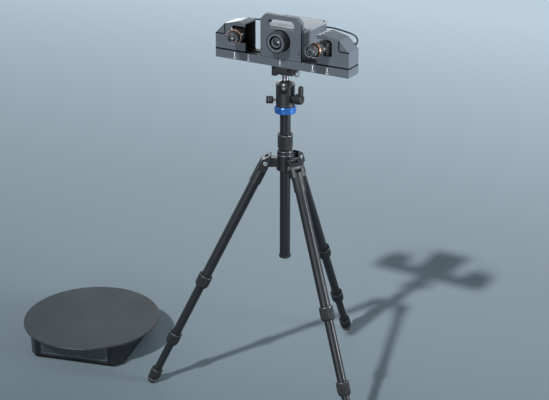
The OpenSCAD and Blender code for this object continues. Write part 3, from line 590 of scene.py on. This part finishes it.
def seam_outline():
    """The seam's outline: down from the roof, round a corner and out to the cover's end."""
    path = fillet([(SEAM_X, SEAM_TOP), (SEAM_X, SEAM_Z), (RAIL_END - 0.2, SEAM_Z)], [0, 5, 0],
                  False, 6)
    one, other = [], []
    for k, p in enumerate(path):
        d = (path[min(k + 1, len(path) - 1)] - path[max(k - 1, 0)]).normalized()
        across = Vector((-d.y, d.x)) * SEAM_HALF
        one.append(p + across)
        other.append(p - across)
    return one + other[::-1]


SEAM = seam_outline()
for side in ("left", "right"):
    groove = drawn(shift(0, FRONT + SEAM_DEPTH, 0) @ turn(90, "X"), prism, SEAM, 0, 2 * SEAM_DEPTH)
    seam = tool(groove, HEAD @ MIRROR[side])
    cover = dress(f"{side}_camera_cover", "head", f"{side}_camera_unit", 1.0, 3,
                  [seam])
    # The faces inside the cover take the near-black paint: painted shade in its hollow
    repaint(cover, "inside", HEAD @ MIRROR[side], cover_shade_faces)
    # A black strip runs round the cover's foot, where it slides on the rail: painted shade in the
    # joint
    foot_shade = bmesh.new()
    x0, x1, y0, y1 = COVER_IN - 0.1, RAIL_END + 0.15, FRONT - 0.15, BACK + 0.15
    w = SHADE_STRIP_WIDTH
    prism(foot_shade, [(x0, y0), (x1, y0), (x1, y1), (x0, y1)], COVER_LOW + 0.05,
          COVER_LOW + SHADE_STRIP_HIGH,
          holes=[[(x0 + w, y0 + w), (x1 - w, y0 + w), (x1 - w, y1 - w), (x0 + w, y1 - w)]],
          bevel=0.3)
    piece(f"{side}_cover_foot_shade", foot_shade, HEAD @ MIRROR[side], "seam", f"{side}_camera_unit")
    # A dark gasket lies in the seam
    gasket = drawn(shift(0, FRONT + SEAM_DEPTH + 0.1, 0) @ turn(90, "X"), prism, SEAM, 0, 0.5)
    piece(f"{side}_cover_seam", gasket, HEAD @ MIRROR[side], "seam", f"{side}_camera_unit")
    # Countersunk screws on the cover's back
    back_screws = [drawn(shift(x, BACK - 0.2, z) @ turn(-90, "X"), lathe,
                         [(0, 0.2), (0.9, 0.2), (1.1, 0.5), (2.3, 0.5), (2.6, 0.2), (2.6, 0),
                          (0, 0)], 24) for x, z in COVER_SCREWS]
    piece(f"{side}_cover_screws", back_screws, HEAD @ MIRROR[side], "clamp",
          f"{side}_camera_unit")
    dress(f"{side}_camera", "camera", f"{side}_camera_unit", 0.9, 2)

    # Lens: stepped barrel with a ribbed grip, a domed front glass in its bezel, and a face ring
    barrel = bmesh.new()
    profile = [(0, 5.0), (11.0, 5.0), (11.2, 1.4), (14.7, 1.2), (15.0, 0.4), (15.5, 0.8),
               (15.5, 4.4), (15.0, 4.8), (15.0, 5.6), (15.5, 6.0)]
    profile += [(15.5, z, 0.5) for z in range(7, 16)]
    profile += [(15.5, 16.0), (15.0, 16.4), (15.0, 17.2), (15.5, 17.6), (15.5, 19.5),
                (15.1, 20.0), (13.0, 20.0), (13.0, 33.6), (16.0, 33.6), (16.5, 34.1),
                (16.5, 36.2), (16.1, 36.5), (16.1, 37.2), (16.5, 37.5), (16.5, 41.0),
                (12.5, 42.0), (12.5, 47.0), (0, 47.0)]
    lathe(barrel, profile, 192, 48, closed=False)
    piece(f"{side}_lens_barrel", barrel, LENS[side], "barrel", f"{side}_camera_unit",
          [f"{side}_lens"])
    glass = bmesh.new()
    lathe(glass, [(0, 2.0), (2.5, 2.15), (5, 2.7), (7.2, 3.6), (7.2, 5.0), (0, 5.0)], 64,
          closed=False)
    piece(f"{side}_lens_glass", glass, LENS[side], "glass", f"{side}_camera_unit")
    bezel = bmesh.new()
    lathe(bezel, [(7.3, 5.0), (7.3, 3.2), (7.7, 2.9), (8.1, 3.2), (8.5, 4.6), (8.5, 5.0)], 64)
    piece(f"{side}_lens_bezel", bezel, LENS[side], "trim", f"{side}_camera_unit")
    face_ring = bmesh.new()
    lathe(face_ring, [(11.2, 1.5), (11.2, 1.0), (11.7, 0.6), (14.2, 0.0), (14.7, 0.3), (14.7, 1.3)],
          96)
    piece(f"{side}_lens_face", face_ring, LENS[side], "face", f"{side}_camera_unit")

    # Focus ring: black flange with copper edges, black grip and two thumb screws
    flange = bmesh.new()
    lathe(flange, fillet([(13.1, 20.3), (18.4, 20.3), (18.6, 20.6), (18.6, 22.8), (18.4, 23.0),
                          (13.1, 23.0)], 0, True), 96)
    piece(f"{side}_focus_flange", flange, LENS[side], "barrel", f"{side}_focus",
          [f"{side}_focus_ring"])
    edges = [band(19.0, 20.3, 21.7, 18.3, 0.4, 128), band(18.0, 24.2, 24.9, 17.0, 0.3, 128)]
    piece(f"{side}_focus_edges", edges, LENS[side], "copper", f"{side}_focus")
    grip = bmesh.new()
    grip_profile = [(13.1, 23.0), (16.6, 23.0), (17.1, 23.4)]
    grip_profile += [(17.5, 23.9 + 0.8 * k, 0.7) for k in range(11)]
    grip_profile += [(17.1, 32.6), (16.7, 33.0), (13.1, 33.0)]
    lathe(grip, grip_profile, 180, 36)
    piece(f"{side}_focus_grip", grip, LENS[side], "barrel", f"{side}_focus")
    screws = []
    for angle in (200, 290):
        at = turn(angle, "Z") @ shift(0, 0, 28) @ turn(90, "Y")
        part = bmesh.new()
        lathe(part, [(0, 16.4), (1.0, 16.4), (1.0, 19.0), (1.8, 19.2, 0.25), (1.8, 22.9, 0.25),
                     (1.3, 23.4), (0, 23.4)], 60, 12, closed=False)
        screws.append((part, at))
    piece(f"{side}_thumb_screws", screws, LENS[side], "steel", f"{side}_focus")

# Projector front plate with the handle
PLATE_SCREWS = ((-55.2, 41), (53.5, 41))
plate_cuts = tool([drawn(shift(x, FRONT, z) @ turn(90, "X"), lathe,
                         [(0, -6), (2.2, -6), (2.2, 1), (0, 1)], 24)
                   for x, z in PLATE_SCREWS], HEAD)
dress("projector_front_plate", "head", "scanner_head", 1.3, 3, [plate_cuts])
piece("plate_screws", [(screw(2.0, 2.2, 1.0), shift(x, FRONT + 5.8, z) @ turn(90, "X"))
                       for x, z in PLATE_SCREWS],
      HEAD, "camera", "scanner_head")

# Black strips, painted shade in the gaps: down each side of the plate, behind its front face, and
# along its foot
PLATE_HALF = 59
plate_gap_shades = [drawn(Matrix.Identity(4), block, (x - 0.2, FRONT + 0.9, 22.2),
                     (x + 0.2, FRONT + 6.4, 117.5), 0.15) for x in (-PLATE_HALF, PLATE_HALF)]
plate_gap_shades.append(drawn(Matrix.Identity(4), block, (-PLATE_HALF, FRONT - 0.1, 21.2),
                         (PLATE_HALF, FRONT + 0.6, 22.3), 0.1))
piece("plate_gap_shade_strips", plate_gap_shades, HEAD, "seam", "scanner_head")

# Small black catch knob at the left post, inside the handle
catch = bmesh.new()
lathe(catch, [(0, 0), (1.4, 0), (1.4, 2.0), (3.0, 2.4), (3.2, 3.0, 0.3), (3.2, 6.6, 0.3),
              (2.8, 7.2), (0, 7.4)], 48, 12, closed=False)
piece("handle_catch", (catch, shift(-39.6, -15, 113) @ turn(90, "Y")), HEAD, "camera",
      "scanner_head")

dress("projector_case", "case", "scanner_head", 0.5, 2)
dress("projector_lid", "lid", "scanner_head", 0.6, 2)
lid_screws = [(screw(2.6, 1.3, 1.2), shift(x, y, 99.9)) for x in (-55, 55) for y in (2, 98)]
piece("lid_screws", lid_screws, HEAD, "clamp", "scanner_head")

# Projector lens: black barrel, a grey ring on its front, and the deep inner lens
PROJECTOR_Z = 68.5
PROJECTOR = HEAD @ shift(0, FRONT, PROJECTOR_Z) @ turn(-90, "X")
lens_body = bmesh.new()
lathe(lens_body, [(0, -9.0), (17.0, -9.0), (17.3, -23.2), (18.0, -24.2), (24.6, -24.2),
                  (24.6, -25.0), (26.3, -25.0), (27.0, -24.3), (27.0, -17.5), (26.5, -17.0),
                  (26.5, -15.6), (27.0, -15.1), (27.0, -4.0), (26.6, -3.6), (26.6, 19.0),
                  (20.0, 19.0), (20.0, 37.7), (0, 37.7)], 96, closed=False)
piece("projector_barrel", lens_body, PROJECTOR, "barrel", "scanner_head",
      ["projector_lens"])
lens_face = bmesh.new()
lathe(lens_face, [(17.7, -23.6), (18.3, -24.5), (18.9, -24.8), (24.0, -24.8), (24.4, -24.5),
                  (24.4, -24.0), (17.7, -24.0)], 96)
piece("projector_face_ring", lens_face, PROJECTOR, "face", "scanner_head")
inner = bmesh.new()
lathe(inner, [(8.4, -19.6), (9.2, -21.4), (10.0, -22.6), (11.6, -23.0), (12.4, -22.6),
              (12.7, -21.9), (12.7, -18.4), (12.3, -18.1), (12.3, -17.4), (12.7, -17.1),
              (12.7, -8.8), (8.4, -8.8)], 96)
piece("projector_inner_barrel", inner, PROJECTOR, "face", "scanner_head")
glass = bmesh.new()
lathe(glass, [(0, -21.0), (2.4, -20.9), (4.8, -20.5), (7.0, -19.8), (8.6, -18.9), (8.6, -14.4),
              (0, -14.4)], 64, closed=False)
piece("projector_glass", glass, PROJECTOR, "glass", "scanner_head")
# A black ring round the barrel where it meets the plate: painted shade in the gap around the barrel
gap_shade = bmesh.new()
lathe(gap_shade, fillet([(27.2, -0.6), (28.4, -0.6), (28.4, 0.3), (27.2, 0.3)], [0, 0.3, 0, 0],
                   True, 3), 96)
piece("projector_gap_shade_ring", gap_shade, PROJECTOR, "seam", "scanner_head")

# Camera cables, the same route as in the part's source, in millimetres in the head
CABLE_R = 2.2
CABLE_SIDES = 16
ROUTE = [
    (40, 106, 75), (40, 110, 75), (41, 113.5, 75.5), (45, 117, 76.5), (53, 118.5, 78),
    (64, 117, 79.5), (78, 113, 80), (94, 108.5, 80), (112, 102, 80), (130, 93, 80.5),
    (146, 82, 81.5), (160, 70, 82), (171, 59, 80.5), (178.5, 49, 77.5), (181.5, 41, 74.5),
    (182, 34, 72.5), (182, 29.5, 72), (182, 25.7, 72),
]


def smooth_route(points, steps):
    """A Catmull-Rom line through the points."""
    pts = [Vector(p) for p in points]
    pts = [2 * pts[0] - pts[1], *pts, 2 * pts[-1] - pts[-2]]
    out = []
    for a, b, c, d in zip(pts, pts[1:], pts[2:], pts[3:]):
        for j in range(steps):
            t = j / steps
            out.append(0.5 * (2 * b + (c - a) * t + (2 * a - 5 * b + 4 * c - d) * t * t
                              + (3 * b - a - 3 * c + d) * t ** 3))
    out.append(pts[-2])
    return out


def tube(bm, path, radius, sides):
    """A round tube along a line."""
    up = Vector((0, 0, 1))
    rings = []
    for k, p in enumerate(path):
        ahead = (path[min(k + 1, len(path) - 1)] - path[max(k - 1, 0)]).normalized()
        across = up.cross(ahead).normalized()
        over = ahead.cross(across)
        rings.append([bm.verts.new(p + across * radius * cos(tau * j / sides)
                                   + over * radius * sin(tau * j / sides)) for j in range(sides)])
    for a, b in zip(rings, rings[1:]):
        for j in range(sides):
            n = (j + 1) % sides
            bm.faces.new((a[j], a[n], b[n], b[j]))
    bm.faces.new(rings[0][::-1])
    bm.faces.new(rings[-1])


def boot(name, at, side, body):
    """A cable's tapered boot, which stands out behind the case or the cover."""
    part = bmesh.new()
    lathe(part, fillet([(0, 0), (5.2, 0), (5.2, 3.0), (3.9, 3.6), (3.4, 9.0), (2.3, 9.4),
                        (0, 9.4)], [0, 0.5, 0.5, 0.5, 0.6, 0, 0], False, 3), 32, closed=False)
    piece(name, (part, shift(*at) @ turn(-90, "X")), HEAD @ MIRROR[side], "cable", body)


route = smooth_route(ROUTE, 5)
for side in ("left", "right"):
    line = [HEAD @ MIRROR[side] @ p * MM for p in route]
    length = sum((b - a).length for a, b in zip(line, line[1:]))
    bm = bmesh.new()
    tube(bm, route, CABLE_R, CABLE_SIDES)
    cable = piece(f"{side}_cable_jacket", bm, HEAD @ MIRROR[side], "cable", None,
                  [f"{side}_cable"])
    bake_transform(cable)
    boot(f"{side}_case_boot", ROUTE[0], side, "scanner_head")
    boot(f"{side}_cover_boot", ROUTE[-1], side, f"{side}_camera_unit")

# ---------------------------------------------------------------- ball head

ring = bmesh.new()
lathe(ring, fillet([(12.3, 11.7), (12.3, 18), (27.2, 18), (28.5, 16.2), (28.5, 10.6), (28.0, 10.2),
                    (28.0, 9.4), (28.5, 9.0), (28.5, 1.8), (27.2, 0), (4.7, 0), (4.7, 11.7)],
                   [0, 0, 1.2, 1.2, 0.2, 0.2, 0.2, 0.2, 1.2, 1.2, 0, 0], True, 4), 128)
piece("pan_ring_blue", ring, STAND @ shift(0, 0, RING_Z), "blue", "centre_column",
      ["pan_ring"])

dress("ball_housing", "casting", "pan_body", 0.7, 2)
skirt = band(24.9, 0.4, 4.2, 24.0, 0.8, 96)
piece("housing_skirt", skirt, STAND @ shift(0, 0, SKIRT_Z), "casting", "pan_body")
recolour("ball", "ball")

stem = bmesh.new()
stem_profile = [(9.0, 21.0), (9.0, 23.0), (8.6, 23.6), (8.6, 32.6), (9.4, 33.4), (12.8, 34.6),
                (14.0, 35.6), (14.0, 38), (0, 38), (0, 22.4), (4, 22.1), (9.0, 20.5)]
lathe(stem, stem_profile, 64, closed=False)
piece("stem_turned", stem, STAND @ shift(0, 0, BALL_Z), "stem", "scanner_head",
      ["ball_stem"])

CLAMP = STAND @ shift(0, 0, CLAMP_Z)
fixed_ribs = tool([drawn(Matrix.Identity(4), block, (x - 0.7, -18, -7), (x + 0.7, -16.2, 19))
                   for x in (-28, -25, -22)], CLAMP)
dress("clamp_base", "clamp", "scanner_head", 0.8, 2, [fixed_ribs])
jaw_ribs = tool([drawn(Matrix.Identity(4), block, (x - 0.6, -18, -1), (x + 0.6, -16.2, 19))
                 for x in (24.2, 26.6)], CLAMP)
dress("clamp_jaw", "clamp", "jaw_body", 0.7, 2, [jaw_ribs])
dress("quick_release_plate", "clamp", "scanner_head", 0.5, 2)

CLAMP_KNOB = STAND @ shift(0, 0, CLAMP_KNOB_Z) @ turn(90, "Y")
knob = bmesh.new()
lathe(knob, [(0, 8), (2.5, 8), (2.5, 29.6), (7.6, 29.6), (8.4, 30.0)]
      + [(9.0, 30.6 + 0.9 * k, 0.8) for k in range(8)]
      + [(8.4, 37.9), (7.4, 38.6), (5.6, 38.6), (5.0, 38.1), (0, 38.1)], 180, 30, closed=False)
piece("clamp_knob_knurled", knob, CLAMP_KNOB, "steel", "clamp_knob_body",
      ["clamp_knob"])

PAN_KNOB = STAND @ shift(0, 0, PAN_KNOB_Z) @ turn(LEGS["left"], "Z") @ turn(90, "Y")
knob = bmesh.new()
lathe(knob, [(0, 31.0), (6.6, 31.0), (8.6, 31.6), (9.6, 32.8), (10.0, 34.2, 0.9),
             (10.0, 36.6, 0.9), (9.2, 37.0), (9.2, 38.0), (10.0, 38.4, 0.9), (10.0, 42.0, 0.9),
             (9.2, 42.4), (9.2, 43.4), (10.0, 43.8, 0.9), (10.0, 46.4, 0.9), (9.5, 48.0),
             (8.4, 49.2), (6.6, 49.5), (0, 49.1)], 192, 16, closed=False)
piece("pan_lock_grip", knob, PAN_KNOB, "rubber", "pan_knob_body",
      ["pan_lock_knob"])
shank = bmesh.new()
lathe(shank, fillet([(0, 20.8), (3.0, 20.8), (3.0, 27.5), (3.8, 28.2), (3.8, 31.1), (0, 31.1)],
                    [0, 0, 0.3, 0.3, 0, 0], False, 3), 48, closed=False)
piece("pan_lock_shank", shank, PAN_KNOB, "shank", "pan_knob_body")
rings = [band(9.35, z, z + 0.9, 8.0, 0.2) for z in (37.05, 42.45)]
piece("pan_lock_rings", rings, PAN_KNOB, "trim", "pan_knob_body")

LOCK_KNOB = STAND @ shift(0, 0, LOCK_KNOB_Z)
hub = bmesh.new()
lathe(hub, [(0, 27.3), (3.0, 27.3), (3.0, 31.3), (11.6, 31.3), (13.2, 32.0), (14.0, 33.6, 1.0),
            (14.0, 39.5, 1.0), (13.2, 40.6), (12.6, 41.4), (12.6, 47.6), (11.6, 49.4), (9.6, 50.0),
            (6.4, 50.0), (6.0, 49.4), (0, 49.4)], 192, 16, closed=False)
lever = bmesh.new()
arm = fillet([(-7.6, -2), (7.6, -2), (7.0, 16), (7.8, 26), (6.2, 34.5), (0, 37.0), (-6.2, 34.5),
              (-7.8, 26), (-7.0, 16)], [0, 0, 6, 5, 4, 5, 4, 5, 6], True, 4)
prism(lever, [(p.x, p.y) for p in arm], 41.0, 50.0, bevel=2.2, segments=3)
piece("ball_lock_grip", [(hub, turn(90, "Y")), (lever, turn(90, "Z") @ turn(90, "X"))],
      LOCK_KNOB, "rubber", "lock_knob_body", ["ball_lock_knob"])

# ---------------------------------------------------------------- tripod

dress("apex", "casting", "tripod_apex", 0.8, 2)
apex_rings = [band(21.35, z, z + 1.6, 20.0, 0.6, 96) for z in (20.0, 31.2)]
piece("apex_rings", apex_rings, STAND @ shift(0, 0, PIVOT_Z), "trim", "tripod_apex")

caps = []
for name, angle in LEGS.items():
    for way in (-1, 1):
        cap = bmesh.new()
        profile = fillet([(0, 16), (4.0, 16), (4.0, 18.6), (5.6, 18.6), (5.6, 20.0), (5.0, 20.4),
                          (3.0, 20.4), (2.8, 19.2), (0, 19.2)],
                         [0, 0, 0, 0.2, 0.5, 0.3, 0.2, 0, 0], False, 3)
        lathe(cap, profile, 48, closed=False)
        caps.append((cap, turn(angle, "Z") @ shift(PIVOT_REACH, 0, PIVOT_Z)
                     @ turn(90 * way, "X")))
piece("pin_caps", caps, STAND, "chrome", "tripod_apex")
recolour("leg_pins", "chrome")


def collar(outer, inner, length, split, ribs=24):
    """A twist lock collar along -Z from 0: rounded upper rim, ribbed grip, tapered end.

    inner and split are the radii of its bore above and below the middle.
    """
    depth = 1.1
    n = 8
    lo, hi = -length + 6.5, -4.4
    profile = [(inner, 0), (outer - 0.78, 0), (outer - 0.3, -0.5), (outer, -1.3),
               (outer, -2.6), (outer - 0.9, -3.2), (outer - 0.6, -4.0)]
    for k in range(n + 1):
        z = hi + (lo - hi) * k / n
        swell = 0.35 * sin(pi * k / n)
        profile.append((outer - 0.4 + swell, z, depth if 0 < k < n else depth * 0.4))
    profile += [(outer - 0.7, -length + 5.6), (outer - 1.3, -length + 5.0),
                (outer - 1.3, -length + 4.2), (outer - 1.6, -length + 3.4),
                (outer - 3.2, -length + 0.5), (outer - 3.8, -length), (split, -length),
                (split, -length / 2 - 1), (inner, -length / 2 - 1)]
    bm = bmesh.new()
    lathe(bm, profile, ribs * 8, ribs)
    return bm


TUBE_R = [13.5, 12.0, 10.5, 9.0]
# Twist locks: number, distance down the leg, length, radii of the tubes above and below
STATIONS = [(1, 368.0, 36, TUBE_R[0], TUBE_R[1]), (2, 566.0, 36, TUBE_R[1], TUBE_R[2]),
            (3, 692.67, 30, TUBE_R[2], TUBE_R[3])]
TUBE_4_TOP = 457.97
FOOT_DOWN = 725.97
FOOT_R = 15.0
FOOT_STEPS = 10
for name in LEGS:
    low = f"{name}_leg_low"
    dress(f"{name}_leg_shoulder", "casting", f"{name}_leg_top", 0.9, 2)
    for stage in (1, 2, 3):
        recolour(f"{name}_leg_tube_{stage}", "tube")
    for stage, start, length, outer_r, inner_r in STATIONS:
        body = f"{name}_leg_lock_{stage}"
        place = LEG[name] @ shift(0, 0, -start)
        piece(f"{name}_lock_grip_{stage}",
              collar(outer_r + 5.5, outer_r + 0.3, length, inner_r + 0.3), place, "rubber", body,
              [f"{name}_leg_collar_{stage}"])
        piece(f"{name}_lock_ring_{stage}", band(outer_r + 5.58, -2.5, -1.3, outer_r + 4, 0.4, 96),
              place, "trim", body)
    # Fourth tube, and the ball foot, which is flat where it stands on the floor
    tube4 = bmesh.new()
    lathe(tube4, fillet([(0, -TUBE_4_TOP), (TUBE_R[3], -TUBE_4_TOP), (TUBE_R[3], -FOOT_DOWN + 8),
                         (0, -FOOT_DOWN + 8)], [0, 0.8, 0, 0], False, 3), 64, closed=False)
    piece(f"{name}_tube_4", tube4, LEG[name], "tube", low)
    foot = bmesh.new()
    dome = [(FOOT_R * cos(pi / 2 * k / FOOT_STEPS), -FOOT_R * sin(pi / 2 * k / FOOT_STEPS))
            for k in range(FOOT_STEPS)]
    lathe(foot, [(0, 3.0), (TUBE_R[3], 3.0), (12.6, 3.0), (13.6, 2.6), (14.7, 1.6), (FOOT_R, 0.8),
                 *dome, (0, -FOOT_R)], 96, closed=False)
    place = LEG[name] @ shift(0, 0, -FOOT_DOWN)
    bmesh.ops.transform(foot, matrix=place, verts=foot.verts)
    for v in foot.verts:
        v.co.z = max(v.co.z, 0)
    piece(f"{name}_foot_rubber", foot, Matrix.Identity(4), "foot", low,
          [f"{name}_leg_tip"])
    piece(f"{name}_foot_ring", band(15.1, -1.4, -0.2, 13.5, 0.4, 96), place, "trim", low)

# Centre column
COLUMN_LOCK = STAND @ shift(0, 0, COLUMN_LOCK_Z)
recolour("column", "tube")
piece("column_lock_grip", collar(20.0, 14.3, 43, 17.5, 28), COLUMN_LOCK, "rubber",
      "column_lock", ["column_collar"])
piece("column_lock_ring", band(20.08, -2.5, -1.3, 18, 0.4, 96), COLUMN_LOCK, "trim",
      "column_lock")
cap = bmesh.new()
lathe(cap, fillet([(0, -2), (13, -2), (16, 0.4), (16, 7), (14, 7), (14, 0), (0, 0)],
                  [0, 1.5, 1.5, 0.6, 0, 0, 0], False, 4), 96, closed=False)
piece("column_cap_rubber", cap, STAND @ shift(0, 0, COLUMN_END_Z), "rubber", "centre_column",
      ["column_end_cap"])

# ---------------------------------------------------------------- turntable

disc = bmesh.new()
lathe(disc, [(0, 77.5), (60, 77.5), (130, 77.5), (197.2, 77.5), (198.4, 77.3), (198.4, 72.0),
             (0, 72.0)], 192, closed=False)
piece("disc_plate", disc, TABLE, "disc", "platter", ["turntable_disc"])
rim = bmesh.new()
lathe(rim, fillet([(198.2, 77.0), (199.4, 76.9), (200, 76.2), (200, 72.6), (199.0, 71.5),
                   (196, 71.5), (196, 72.2), (198.2, 72.2)],
                  [0, 0.3, 0.3, 0.6, 0.6, 0, 0, 0], True, 3), 192)
piece("disc_rim", rim, TABLE, "edge", "platter")
hub = bmesh.new()
lathe(hub, fillet([(0, 71.2), (70, 71.2), (74, 70.0), (74, 71.5), (196.5, 71.5), (196.5, 72.1),
                   (0, 72.1)], [0, 1, 0, 0, 0, 0, 0], False, 3), 128, closed=False)
piece("disc_underside", hub, TABLE, "edge", "platter")

dress("turntable_base", "base", "turntable", 1.6, 3)
BASE_HALF = 142.5
PANEL = fillet([(-104, 14), (104, 14), (104, 61), (-104, 61)], 2.5, True, 4)
BORDER_OUT = fillet([(-99, 18.5), (99, 18.5), (99, 56.5), (-99, 56.5)], 2, True, 4)
BORDER_IN = fillet([(-98.2, 19.3), (98.2, 19.3), (98.2, 55.7), (-98.2, 55.7)], 1.4, True, 4)
sides = [turn(90 * k, "Z") @ shift(0, -BASE_HALF, 0) @ turn(90, "X") for k in range(4)]
plates = [drawn(place, prism, PANEL, 0, 0.7, bevel=0.3) for place in sides]
border = drawn(sides[0], prism, BORDER_OUT, 0.6, 0.85, holes=[BORDER_IN])
piece("front_panel", plates[0], TABLE, "panel", "turntable")
piece("front_panel_border", border, TABLE, "line", "turntable")
piece("side_panels", plates[1:], TABLE, "base", "turntable")
skirt = [drawn(turn(90 * k, "Z"), block, (-120, -BASE_HALF - 0.5, 4.2),
               (120, -BASE_HALF + 2, 8.6), 0.4) for k in range(4)]
piece("base_skirt", skirt, TABLE, "seam", "turntable")

for node, paint in (("turntable_gear", "nylon"), ("turntable_motor", "motor"),
                    ("turntable_pinion", "brass"), ("light_engine", "engine")):
    recolour(node, paint)

# ---------------------------------------------------------------- floor and light

# The floor's colour is painted darker near the camera and paler further back, as in the photograph:
# a painted fall of light
FLOOR_NEAR = (0.128, 0.174, 0.2)
FLOOR_FAR = (0.673, 0.812, 0.929)
FLOOR_SPAN = (-0.6, 4.6)
FLOOR_WAY = (-0.0825, 1.115, 0)
FLOOR_R = 14
floor_bm = bmesh.new()
bmesh.ops.create_circle(floor_bm, cap_ends=True, segments=96, radius=FLOOR_R)
floor_mesh = bpy.data.meshes.new("floor")
floor_bm.to_mesh(floor_mesh)
floor_bm.free()
floor = bpy.data.objects.new("floor", floor_mesh)
bpy.context.scene.collection.objects.link(floor)
floor_paint = Paint("floor_paint", FLOOR_NEAR, 0.7, spec=0.2)
along = floor_paint.nodes.new("ShaderNodeVectorMath")
along.operation = "DOT_PRODUCT"
along.inputs[1].default_value = FLOOR_WAY
floor_paint.links.new(floor_paint.place, along.inputs[0])
reach = floor_paint.nodes.new("ShaderNodeMapRange")
reach.inputs["From Min"].default_value = FLOOR_SPAN[0]
reach.inputs["From Max"].default_value = FLOOR_SPAN[1]
floor_paint.links.new(along.outputs["Value"], reach.inputs["Value"])
painted_falloff = floor_paint.nodes.new("ShaderNodeMix")
painted_falloff.data_type = "RGBA"
painted_falloff.inputs["A"].default_value = (*FLOOR_NEAR, 1)
painted_falloff.inputs["B"].default_value = (*FLOOR_FAR, 1)
floor_paint.links.new(reach.outputs["Result"], painted_falloff.inputs["Factor"])
floor_paint.links.new(painted_falloff.outputs["Result"], floor_paint.shader.inputs["Base Color"])
floor_mesh.materials.append(floor_paint.mat)

# The camera and mirrors see a pale background, and everything else is lit by a weaker one
world = bpy.data.worlds.new("studio")
world.use_nodes = True
bpy.context.scene.world = world
tree = world.node_tree
background = tree.nodes["Background"]
path_kind = tree.nodes.new("ShaderNodeLightPath")
seen = tree.nodes.new("ShaderNodeBackground")
seen.inputs["Color"].default_value = (0.62, 0.70, 0.76, 1)
seen.inputs["Strength"].default_value = 1
background.inputs["Color"].default_value = (0.86, 0.93, 1.0, 1)
background.inputs["Strength"].default_value = 0.17
blend_world = tree.nodes.new("ShaderNodeMixShader")
rays = path_kind.outputs["Is Camera Ray"]
for kind in ("Is Glossy Ray", "Is Transmission Ray"):
    either = tree.nodes.new("ShaderNodeMath")
    either.operation = "MAXIMUM"
    tree.links.new(rays, either.inputs[0])
    tree.links.new(path_kind.outputs[kind], either.inputs[1])
    rays = either.outputs["Value"]
tree.links.new(rays, blend_world.inputs["Fac"])
tree.links.new(background.outputs["Background"], blend_world.inputs[1])
tree.links.new(seen.outputs["Background"], blend_world.inputs[2])
tree.links.new(blend_world.outputs["Shader"], tree.nodes["World Output"].inputs["Surface"])

AIM = (0.24, -0.06, 0.75)
COOL = (0.95, 0.98, 1.0)


def lamp(name, place, size, power, aim=AIM, spread=180):
    """A soft rectangular lamp that the camera does not see."""
    data = bpy.data.lights.new(name, "AREA")
    data.spread = radians(spread)
    data.shape = "RECTANGLE"
    data.size, data.size_y = size
    data.energy = power
    data.color = COOL
    obj = bpy.data.objects.new(name, data)
    obj.location = place
    obj.rotation_euler = (Vector(aim) - Vector(place)).to_track_quat("-Z", "Y").to_euler()
    bpy.context.scene.collection.objects.link(obj)
    obj.visible_camera = False


lamp("horizon", (-1.45, 2.2, 1.08), (1.5, 0.75), 2.7, aim=(0.24, -0.06, 1.0), spread=60)
lamp("side", (-2.4, -1.2, 1.5), (1.0, 1.8), 5)
lamp("front", (0.7, -3.4, 0.75), (2.2, 1.2), 14, spread=90)
lamp("right", (3.0, 0.5, 1.02), (1.0, 1.2), 14, aim=(0.3, -0.06, 0.99), spread=50)

# The key light is a sun, so that the shadow falls and blurs as in the photograph
KEY_WAY = (0.06, 0.91, -1)
KEY_BLUR = 2.6
key_data = bpy.data.lights.new("key", "SUN")
key_data.energy = 2.5
key_data.angle = radians(KEY_BLUR)
key = bpy.data.objects.new("key", key_data)
key.rotation_euler = Vector(KEY_WAY).to_track_quat("-Z", "Y").to_euler()
bpy.context.scene.collection.objects.link(key)

bpy.context.scene.view_settings.view_transform = "Standard"
